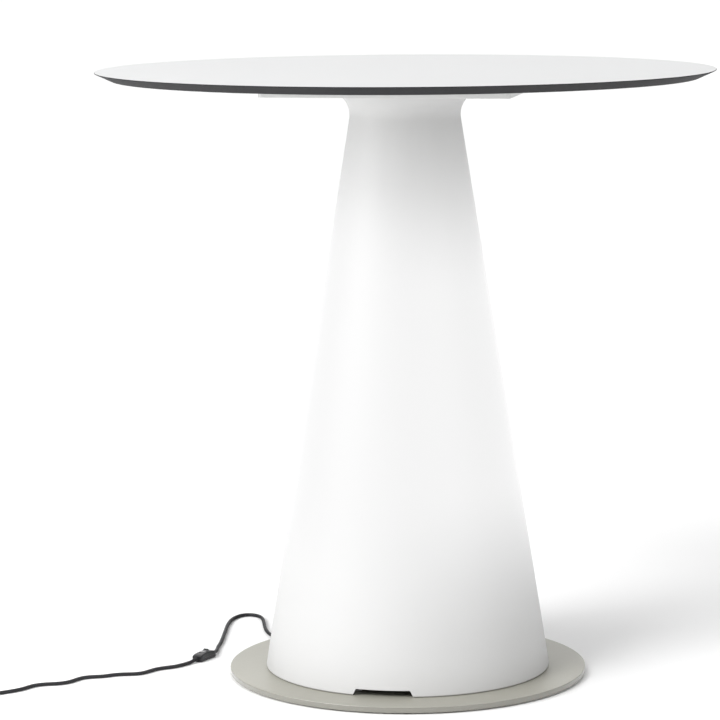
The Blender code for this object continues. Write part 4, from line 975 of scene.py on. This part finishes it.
class LIT_OT_base_plate(bpy.types.Operator):
    """Make the painted base plate with its countersinks"""
    bl_idname = "lit.base_plate"
    bl_label = "Base plate"

    def execute(self, context):
        radius, low, high, edge = BASE_HIGH.x, BASE_LOW.z, BASE_HIGH.z, BASE_EDGE
        profile = arc((radius - edge, low + edge), edge, -QUARTER, 0, 5)
        profile += arc((radius - edge, high - edge), edge, 0, QUARTER, 5)
        plate = add_piece("painted_base", turned(profile, context.scene.lit_table_base.segments),
                          "warm_grey_paint", nodes=["base_plate"], extra=["base_wall_painted_shade"])
        cut(plate, stamped((self.sink(BOLT_HEAD_RADIUS), [at(0, 0, low)]),
                           (self.sink(FOOT_SCREW_HEAD_RADIUS), foot_screw_places(low))))
        # The upright wall takes the darkened paint, a painted shade
        for face in plate.data.polygons:
            out = math.hypot(face.center.x, face.center.y)
            face.material_index = 1 if out > radius - edge / 2 and abs(face.normal.z) < WALL_SHARE else 0
        even_shading(plate)
        return {"FINISHED"}

    def sink(self, head_radius):
        """Cutter for a countersunk head's seat."""
        wide, narrow = head_radius + SINK_CLEAR, head_radius / 2
        return turned([(wide, -OVERRUN), (wide, 0), (narrow, wide - narrow)], PAD_SEGMENTS)


class LIT_OT_glides(bpy.types.Operator):
    """Make the four glide pads under the base plate"""
    bl_idname = "lit.glides"
    bl_label = "Glide pads"

    def execute(self, context):
        thick = BASE_LOW.z - CLEAR
        edge = thick / 3
        for number, name in enumerate(numbered("glide_pad", 4), 1):
            low, _, radius, place = round_node(name)
            dish = radius * GLIDE_DISH_SHARE
            profile = [(dish, low + edge / 2), (dish + edge, low)]
            profile += arc((radius - edge, low + edge), edge, -QUARTER, 0, 4) + [(radius, thick)]
            add_piece(f"glide_{number}", turned(profile, PAD_SEGMENTS), "black_plastic", nodes=[name],
                      place=place)
        return {"FINISHED"}


class LIT_OT_screws(bpy.types.Operator):
    """Make the screws that show from below, with their sockets"""
    bl_idname = "lit.screws"
    bl_label = "Screws"

    def execute(self, context):
        for name in numbered("top_screw", 4):
            self.pan_head(name)
        for name in numbered("foot_screw", 3):
            self.flat_head(name, FOOT_SCREW_HEAD_RADIUS)
        self.flat_head("base_bolt", BOLT_HEAD_RADIUS)
        return {"FINISHED"}

    def screw(self, name, kind, profile, head, low, place):
        """A screw with a hexagon socket sunk into its head from below."""
        made = add_piece(f"{name}_{kind}", turned(profile, SMALL_SEGMENTS), "zinc_steel",
                         nodes=[name], place=place)
        cut(made, drill(head * SOCKET_WIDTH_SHARE, low - OVERRUN, low + head * SOCKET_DEPTH_SHARE, 6), place)

    def pan_head(self, name):
        low, high, head, place = round_node(name)
        shank = head * PAN_SHANK_SHARE
        seat = PLATE_HIGH.z - PLATE_THICKNESS - CLEAR
        curve = (seat - low) * PAN_ROUND_SHARE
        profile = arc((head - curve, low + curve), curve, -QUARTER, 0, 6)
        self.screw(name, "pan", profile + [(head, seat), (shank, seat), (shank, high)], head, low, place)

    def flat_head(self, name, head):
        low, high, _, place = round_node(name)
        shank, edge = head / 2, head * FLAT_EDGE_SHARE
        profile = [(head - edge, low), (head, low + edge), (shank, low + edge + head - shank), (shank, high)]
        self.screw(name, "flat", profile, head, low, place)


class LIT_OT_inner_parts(bpy.types.Operator):
    """Finish what the column holds: LED post and boards, driver, leads and clamp"""
    bl_idname = "lit.inner_parts"
    bl_label = "Inner parts"

    def execute(self, context):
        finish_nodes(
            "led_post", "post_collar_lower", "post_collar_upper", "led_board_right", "led_board_back",
            "led_board_left", "led_board_front", "led_driver", *numbered("driver_screw", 2), "cord_clamp",
            *numbered("clamp_screw", 2), "mains_lead_inside", "led_lead")
        return {"FINISHED"}


def exit_direction():
    return Vector((math.cos(CORD_ANGLE), math.sin(CORD_ANGLE), 0))


def exit_point(distance):
    """A point on the strain relief's axis, at a distance from the column's axis."""
    return exit_direction() * distance + Vector((0, 0, BUSH_Z))


def smooth_path(points, step):
    """Evenly spaced points on a natural cubic curve through the route's points, never below the floor."""
    knots = np.array([tuple(point) for point in points])
    run = np.linalg.norm(np.diff(knots, axis=0), axis=1)
    knot_at = np.concatenate(([0.0], np.cumsum(run)))
    count = len(knots)
    system, right = np.eye(count), np.zeros((count, 3))
    for i in range(1, count - 1):
        system[i, i - 1:i + 2] = (run[i - 1], 2 * (run[i - 1] + run[i]), run[i])
        right[i] = 6 * ((knots[i + 1] - knots[i]) / run[i] - (knots[i] - knots[i - 1]) / run[i - 1])
    bend = np.linalg.solve(system, right)
    fine = np.linspace(0, knot_at[-1], count * ROUTE_STEPS)
    index = np.clip(np.searchsorted(knot_at, fine, side="right") - 1, 0, count - 2)
    left, width = (fine - knot_at[index])[:, None], run[index][:, None]
    rest = width - left
    curve = (bend[index] * rest ** 3 + bend[index + 1] * left ** 3) / (6 * width)
    curve += (knots[index] / width - bend[index] * width / 6) * rest
    curve += (knots[index + 1] / width - bend[index + 1] * width / 6) * left
    curve[:, 2] = np.maximum(curve[:, 2], np.minimum(CORD_LIE, min(curve[0, 2], curve[-1, 2])))
    length = np.concatenate(([0.0], np.cumsum(np.linalg.norm(np.diff(curve, axis=0), axis=1))))
    places = np.linspace(0, length[-1], round(length[-1] / step) + 1)
    return [Vector([np.interp(place, length, curve[:, axis]) for axis in range(3)]) for place in places]


def coil_half_turns():
    """Turns in each of the coil's two layers."""
    return (COIL_TURNS + (COIL_ENTRY_ANGLE - COIL_EXIT_ANGLE) / (2 * math.pi)) / 2


def coil_start():
    """Where the coil's tube begins, and the direction in which it runs there."""
    outer = COIL_RADIUS + COIL_PITCH * coil_half_turns() / 2
    turn = COIL_ENTRY_ANGLE
    along = Vector((math.sin(turn), -math.cos(turn), 0))
    touch = Vector((COIL_X + outer * math.cos(turn), COIL_Y + outer * math.sin(turn), CORD_LIE))
    return touch - along * CORD_DIAMETER, along


def coil_points():
    """Clockwise in to the middle on the lower layer, up a layer, and clockwise out again to the tail."""
    half = coil_half_turns()
    count = round(2 * half * COIL_POINTS_PER_TURN * 2)
    inner = COIL_RADIUS - COIL_PITCH * half / 2
    points = []
    for i in range(count + 1):
        turned_by = 2 * half * i / count - half
        radius = inner + COIL_PITCH * abs(turned_by)
        climb = min(max(turned_by * 2 + 0.5, 0.0), 1.0)
        height = CORD_LIE + COIL_PITCH * climb * climb * (3 - 2 * climb)
        angle = COIL_ENTRY_ANGLE - 2 * math.pi * (turned_by + half)
        points.append(Vector((COIL_X + radius * math.cos(angle), COIL_Y + radius * math.sin(angle), height)))
    return points


def plug_cord_end():
    """The point just before the end of the cord at the plug's strain relief, and that end."""
    last = coil_points()[-1]
    tip = Vector((last.x, last.y + COIL_TAIL, PLUG_Z))
    return tip - Vector((0, CORD_DIAMETER, 0)), tip


def switch_end(side):
    """The point just outside the switch's end, and the direction that leads away from it."""
    direction = Vector((math.cos(SWITCH_ANGLE), math.sin(SWITCH_ANGLE), 0)) * side
    return Vector((SWITCH_X, SWITCH_Y, SWITCH_CORD_Z)) + direction * (SWITCH_LENGTH / 2 + CLEAR), direction


def on_floor(points):
    return [Vector((x, y, CORD_LIE)) for x, y in points]


def add_cord(name, points, nodes):
    """A round cord along a line of points, as one curve."""
    curve = bpy.data.curves.new(name, "CURVE")
    curve.dimensions = "3D"
    curve.bevel_depth = CORD_RADIUS
    curve.bevel_resolution = bpy.context.scene.lit_table_cord.bevel_steps
    curve.use_fill_caps = True
    spline = curve.splines.new("POLY")
    spline.points.add(len(points) - 1)
    for target, point in zip(spline.points, points):
        target.co = (*point, 1.0)
    spline.use_smooth = True
    curve.materials.append(material_for("cord_black"))
    obj = add_object(name, curve)
    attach(obj, "root")
    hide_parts(*nodes)
    return obj


class LIT_OT_cord(bpy.types.Operator):
    """Lay the cord: from the table to the switch, and from the switch to its coil and the plug"""
    bl_idname = "lit.cord"
    bl_label = "Cord"

    def execute(self, context):
        start = exit_point(BUSH_START + BUSH_LENGTH + CLEAR)
        end, away = switch_end(1)
        route = [start, start + exit_direction() * CORD_DIAMETER] + [Vector(point) for point in CORD_DROP]
        route += on_floor(CORD_LOOP) + [end + away * CORD_DIAMETER, end]
        points = smooth_path(route, CORD_DIAMETER)
        first = add_cord("cord_from_table", points, ["cord_table_to_switch"])
        start, away = switch_end(-1)
        coil, along = coil_start()
        route = [start, start + away * CORD_DIAMETER] + on_floor(CORD_RUN)
        route += [coil - along * (CLEAR + gap * CORD_DIAMETER) for gap in (3, 1, 0)]
        points = smooth_path(route, CORD_DIAMETER) + coil_points() + list(plug_cord_end())
        second = add_cord("cord_from_switch", points, ["cord_switch_to_coil", "cord_coil"])
        plug = [bpy.data.objects["plug_" + name] for name in ("moulding", "relief", "prong_1", "prong_2")]
        plug.append(self.tie(context))
        return {"FINISHED"}

    def tie(self, context):
        """A flat band round one side of the coil that keeps its turns together."""
        width = context.scene.lit_table_cord.tie_width
        side = COIL_PITCH * coil_half_turns() / 2 + TIE_REACH - CORD_RADIUS
        low, high = TIE_LIE + CORD_RADIUS, CORD_LIE + COIL_PITCH + TIE_REACH - CORD_RADIUS
        outer, inner = (round_corners((-side, low), (side, high), CORD_RADIUS - inset, 6)
                        for inset in (0.0, TIE_THICKNESS))
        rings = [[(x, y, z) for x, z in ring] for ring, y in
                 ((outer, -width / 2), (outer, width / 2), (inner, width / 2), (inner, -width / 2))]
        place = at(COIL_X + COIL_RADIUS * math.cos(TIE_ANGLE), COIL_Y + COIL_RADIUS * math.sin(TIE_ANGLE))
        return add_piece("coil_tie", skin(rings, True), "black_plastic",
                         place=place @ Matrix.Rotation(TIE_ANGLE, 4, "Z"))


class LIT_OT_strain_relief(bpy.types.Operator):
    """Make the tapered strain relief in the rear left notch"""
    bl_idname = "lit.strain_relief"
    bl_label = "Strain relief"

    def execute(self, context):
        straight, edge = BUSH_LENGTH - BUSH_TAPER, CLEAR
        profile = [(BUSH_RADIUS - edge, 0), (BUSH_RADIUS, edge), (BUSH_RADIUS, straight)]
        profile += ribbed(BUSH_GROOVES, BUSH_PITCHES, BUSH_STEPS, (BUSH_RADIUS, BUSH_TIP_RADIUS),
                          BUSH_GROOVE_DEPTH, straight, BUSH_TAPER)
        profile += [(BUSH_TIP_RADIUS, BUSH_LENGTH - edge), (BUSH_TIP_RADIUS - edge, BUSH_LENGTH)]
        aim = exit_direction().to_track_quat("Z", "Y").to_matrix().to_4x4()
        add_piece("cord_bush", turned(profile, SMALL_SEGMENTS), "black_plastic", nodes=["cord_strain_relief"],
                  place=at(*exit_point(BUSH_START)) @ aim)
        return {"FINISHED"}


def station_at(along, stations):
    """Width and height shares at a place along a housing, straight between its stations."""
    places = [station[0] for station in stations]
    return [float(np.interp(along, places, [station[k] for station in stations])) for k in (1, 2)]


def smooth_stations(stations, count):
    """More sections between a housing's own, evened out, and closest together at its ends."""
    low, high = stations[0][0], stations[-1][0]
    reach = (high - low) * STATION_BLEND
    made = []
    for i in range(count + 1):
        along = low + (high - low) * (1 - math.cos(math.pi * i / count)) / 2
        near = [station_at(min(max(along + step * reach, low), high), stations)
                for step in (-1, -0.5, 0, 0.5, 1)]
        made.append((along, *(sum(share) / len(near) for share in zip(*near))))
    return made


def dome_shares(power, steps):
    """Upper half of a rounded section, from its side to its crown, as shares of width and height."""
    turns = [QUARTER * i / steps for i in range(steps + 1)]
    return [(math.cos(turn) ** (2 / power), math.sin(turn) ** (2 / power)) for turn in turns]


class LIT_OT_switch(bpy.types.Operator):
    """Make the inline switch: two shells and the rocker"""
    bl_idname = "lit.switch"
    bl_label = "Inline switch"

    def execute(self, context):
        place = at(SWITCH_X, SWITCH_Y) @ Matrix.Rotation(SWITCH_ANGLE, 4, "Z")
        stations = smooth_stations(SWITCH_STATION_SHARES, 40)
        pocket, well = SWITCH_POCKET_LENGTH / 2, ROCKER_WIDTH / 2 + CLEAR
        base = add_piece("switch_lower_shell", skin(self.lower(stations)), "black_plastic",
                         nodes=["switch_base"], place=place)
        hollow = block((-pocket, -well, CLEAR + SWITCH_WALL), (pocket, well, SWITCH_PARTING + OVERRUN))
        cut(base, hollow, place)
        cover = add_piece("switch_upper_shell", skin(self.upper(stations)), "black_plastic",
                          nodes=["switch_cover"], place=place)
        rocker_end = ROCKER_VALLEY + ROCKER_LENGTH / 2 * math.tan(ROCKER_TILT)
        reach = math.hypot(ROCKER_LENGTH / 2, rocker_end) + CLEAR
        opening = block((-reach, -well, SWITCH_PARTING - OVERRUN), (reach, well, SWITCH_HEIGHT + OVERRUN))
        cut(cover, opening, place)
        round_edges(cover, SWITCH_EDGE)
        self.rocker(place, rocker_end)
        finish_nodes("switch_pin", "switch_terminal_1", "switch_terminal_2", "switch_contact_leaf")
        return {"FINISHED"}

    def upper(self, stations):
        """Rings of the upper shell, from one cord end to the other."""
        low, dome = SWITCH_PARTING + CLEAR, dome_shares(SWITCH_DOME_POWER, 12)[:-1]
        rings = []
        for along, wide, tall in stations:
            x, half, rise = along * SWITCH_LENGTH / 2, wide * SWITCH_WIDTH / 2, tall * SWITCH_HEIGHT - low
            side = [(x, half * across, low + rise * up) for across, up in dome]
            rings.append(mirrored(side, [(x, 0, low + rise)]))
        return rings

    def lower(self, stations):
        """Rings of the lower shell."""
        rings = []
        for along, wide, _ in stations:
            x, half = along * SWITCH_LENGTH / 2, wide * SWITCH_WIDTH / 2
            corner = arc((half - SWITCH_CHAMFER, CLEAR + SWITCH_CHAMFER), SWITCH_CHAMFER, 0, -QUARTER, 5)
            rings.append(mirrored([(x, y, z) for y, z in [(half, SWITCH_PARTING)] + corner]))
        return rings

    def rocker(self, place, end_height):
        """The rocker: two shallow hollows that rise from its middle to its ends."""
        end = ROCKER_LENGTH / 2
        foot = end + ROCKER_FLARE
        outline = [(foot, ROCKER_SKIRT), (ROCKER_BOSS, -ROCKER_BOSS), (-ROCKER_BOSS, -ROCKER_BOSS),
                   (-foot, ROCKER_SKIRT)]
        for i in range(-ROCKER_STEPS, ROCKER_STEPS + 1):
            share = abs(i) / ROCKER_STEPS
            dip = ROCKER_DIP * math.sin(math.pi * share)
            height = ROCKER_VALLEY + (end_height - ROCKER_VALLEY) * share - dip
            outline.append((end * i / ROCKER_STEPS, height))
        rings = [[(x, y, z) for x, z in outline] for y in (-ROCKER_WIDTH / 2, ROCKER_WIDTH / 2)]
        pivot = place @ at(0, 0, SWITCH_HEIGHT - ROCKER_VALLEY + CLEAR)
        tilted = pivot @ Matrix.Rotation(-ROCKER_TILT, 4, "Y")
        rocker = add_piece("switch_button", skin(rings), "rocker_black", body="rocker",
                           nodes=["switch_rocker"], place=tilted)
        cut(rocker, drill(PIN_RADIUS + CLEAR, -ROCKER_WIDTH, ROCKER_WIDTH, BORE_SEGMENTS),
            tilted @ Matrix.Rotation(QUARTER, 4, "X"))
        round_edges(rocker, ROCKER_EDGE)


class LIT_OT_plug(bpy.types.Operator):
    """Make the plug: ribbed strain relief, moulded body and two pins"""
    bl_idname = "lit.plug"
    bl_label = "Plug"

    def execute(self, context):
        tip = plug_cord_end()[1]
        seat = tip.y + CLEAR
        front = seat + RELIEF_LENGTH + CLEAR + PLUG_LENGTH
        upright = Matrix.Rotation(-QUARTER, 4, "X")
        profile = ribbed(RELIEF_RIBS, RELIEF_PITCHES, RELIEF_STEPS, (RELIEF_TIP_RADIUS, RELIEF_RADIUS),
                         RELIEF_GROOVE, 0, RELIEF_LENGTH)
        add_piece("plug_relief", turned(profile, SMALL_SEGMENTS), "black_plastic",
                  nodes=["plug_strain_relief"], place=at(tip.x, seat, PLUG_Z) @ upright)
        body = add_piece("plug_moulding", skin(self.sections(tip.x, front)), "black_plastic",
                         nodes=["plug_body"])
        round_edges(body, PLUG_EDGE, 3)
        taper = PLUG_PIN_RADIUS / 2
        profile = [(PLUG_PIN_RADIUS, 0)]
        profile += arc((PLUG_PIN_RADIUS - taper, PLUG_PIN_LENGTH - taper), taper, 0, QUARTER, 4)
        for number, side in ((1, -1), (2, 1)):
            spot = at(tip.x + side * PLUG_PIN_SPACING / 2, front + CLEAR, PLUG_Z) @ upright
            add_piece(f"plug_prong_{number}", turned(profile, PIN_SEGMENTS), "nickel",
                      nodes=[f"plug_pin_{number}"], place=spot)
        return {"FINISHED"}

    def sections(self, x, front):
        """Rounded rings from the pins back to the cord."""
        ring = dome_shares(PLUG_DOME_POWER, 8)
        ring += [(-across, up) for across, up in reversed(ring[:-1])]
        ring += [(across, -up) for across, up in reversed(ring[1:-1])]
        return [[(x + across * wide * PLUG_WIDTH / 2, front - along * PLUG_LENGTH,
                  PLUG_Z + up * tall * PLUG_HEIGHT / 2) for across, up in ring]
                for along, wide, tall in smooth_stations(PLUG_STATION_SHARES, 28)]


class LIT_OT_camera(bpy.types.Operator):
    """Set the camera as the photograph has it"""
    bl_idname = "lit.camera"
    bl_label = "Camera"

    def execute(self, context):
        lens = bpy.data.cameras.new("photo_camera")
        lens.lens = CAMERA_LENS_MM
        lens.sensor_width = SENSOR_MM
        lens.clip_end = CAMERA_REACH
        camera = add_object("photo_camera", lens)
        camera.location = (CAMERA_DISTANCE * math.sin(PHOTO_TURN), -CAMERA_DISTANCE * math.cos(PHOTO_TURN),
                           CAMERA_HEIGHT)
        turn, tilt = PHOTO_TURN + CAMERA_YAW, QUARTER - CAMERA_PITCH
        aim = Matrix.Rotation(turn, 4, "Z") @ Matrix.Rotation(tilt, 4, "X")
        camera.rotation_euler = (aim @ Matrix.Rotation(CAMERA_ROLL, 4, "Z")).to_euler()
        context.scene.camera = camera
        return {"FINISHED"}


class LIT_OT_stage(bpy.types.Operator):
    """Set the pale floor and the soft studio light"""
    bl_idname = "lit.stage"
    bl_label = "Floor and light"

    def execute(self, context):
        settings = context.scene.lit_table_stage
        half = settings.floor_size / 2
        mesh = bpy.data.meshes.new("floor")
        corners = [(-half, -half, 0), (half, -half, 0), (half, half, 0), (-half, half, 0)]
        mesh.from_pydata(corners, [], [(0, 1, 2, 3)])
        colour = tuple(settings.floor_colour)
        paper, _, _ = new_material("floor_paper", colour, Base_Color=colour, Roughness=0.9,
                                   Specular_IOR_Level=0.0)
        mesh.materials.append(paper)
        floor = add_object("floor", mesh)
        world = bpy.data.worlds.new("studio")
        world.use_nodes = True
        sky = world.node_tree.nodes["Background"]
        sky.inputs["Color"].default_value = (1.0, 1.0, 1.0, 1.0)
        sky.inputs["Strength"].default_value = settings.sky_strength
        context.scene.world = world
        for name, side, height, strength, spread in FAR_LIGHTS:
            light = bpy.data.lights.new(name, "SUN")
            light.energy = strength * settings.far_strength
            light.angle = math.radians(spread)
            self.aim(light, self.toward(side, height))
        light = bpy.data.lights.new("side_light", "AREA")
        light.energy = settings.side_power
        light.size = SIDE_LIGHT_SIZE
        place = self.toward(SIDE_LIGHT_ANGLE, 0) * SIDE_LIGHT_DISTANCE + Vector((0, 0, SIDE_LIGHT_HEIGHT))
        self.aim(light, place - Vector((0, 0, SIDE_LIGHT_AIM)), place)
        context.scene.view_settings.view_transform = "Standard"
        return {"FINISHED"}

    def toward(self, side, height):
        """The direction at a side and a height, both in degrees."""
        side, height = PHOTO_TURN + math.radians(side), math.radians(height)
        level = math.cos(height)
        return Vector((math.cos(side) * level, math.sin(side) * level, math.sin(height)))

    def aim(self, light, away, place=(0, 0, 0)):
        """Add a lamp that shines against a direction."""
        lamp = add_object(light.name, light)
        lamp.location = place
        lamp.rotation_euler = away.to_track_quat("Z", "Y").to_euler()


SETTINGS = (
    ("lit_table_top", LitTableTopSettings),
    ("lit_table_column", LitColumnSettings),
    ("lit_table_base", LitBaseSettings),
    ("lit_table_cord", LitCordSettings),
    ("lit_table_stage", LitStageSettings),
)
OPERATORS = (
    LIT_OT_camera, LIT_OT_switch, LIT_OT_plug, LIT_OT_strain_relief, LIT_OT_cord, LIT_OT_table_top,
    LIT_OT_top_plate, LIT_OT_neck_hub, LIT_OT_column, LIT_OT_base_plate, LIT_OT_glides, LIT_OT_screws,
    LIT_OT_inner_parts, LIT_OT_stage,
)


class LIT_PT_table(bpy.types.Panel):
    """Buttons and sizes for the lit table"""
    bl_label = "Lit Column Table"
    bl_idname = "LIT_PT_table"
    bl_space_type = "VIEW_3D"
    bl_region_type = "UI"
    bl_category = "Lit Table"

    def draw(self, context):
        for operator in OPERATORS:
            self.layout.operator(operator.bl_idname)
        for name, kind in SETTINGS:
            box = self.layout.box()
            settings = getattr(context.scene, name)
            for field in kind.__annotations__:
                box.prop(settings, field)


def register():
    for name, kind in SETTINGS:
        bpy.utils.register_class(kind)
        setattr(bpy.types.Scene, name, bpy.props.PointerProperty(type=kind))
    for kind in OPERATORS + (LIT_PT_table,):
        bpy.utils.register_class(kind)


def unregister():
    for kind in reversed(OPERATORS + (LIT_PT_table,)):
        bpy.utils.unregister_class(kind)
    for name, kind in reversed(SETTINGS):
        delattr(bpy.types.Scene, name)
        bpy.utils.unregister_class(kind)


def main():
    register()
    for operator in OPERATORS:
        group, name = operator.bl_idname.split(".")
        getattr(getattr(bpy.ops, group), name)()


if __name__ == "__main__":
    main()
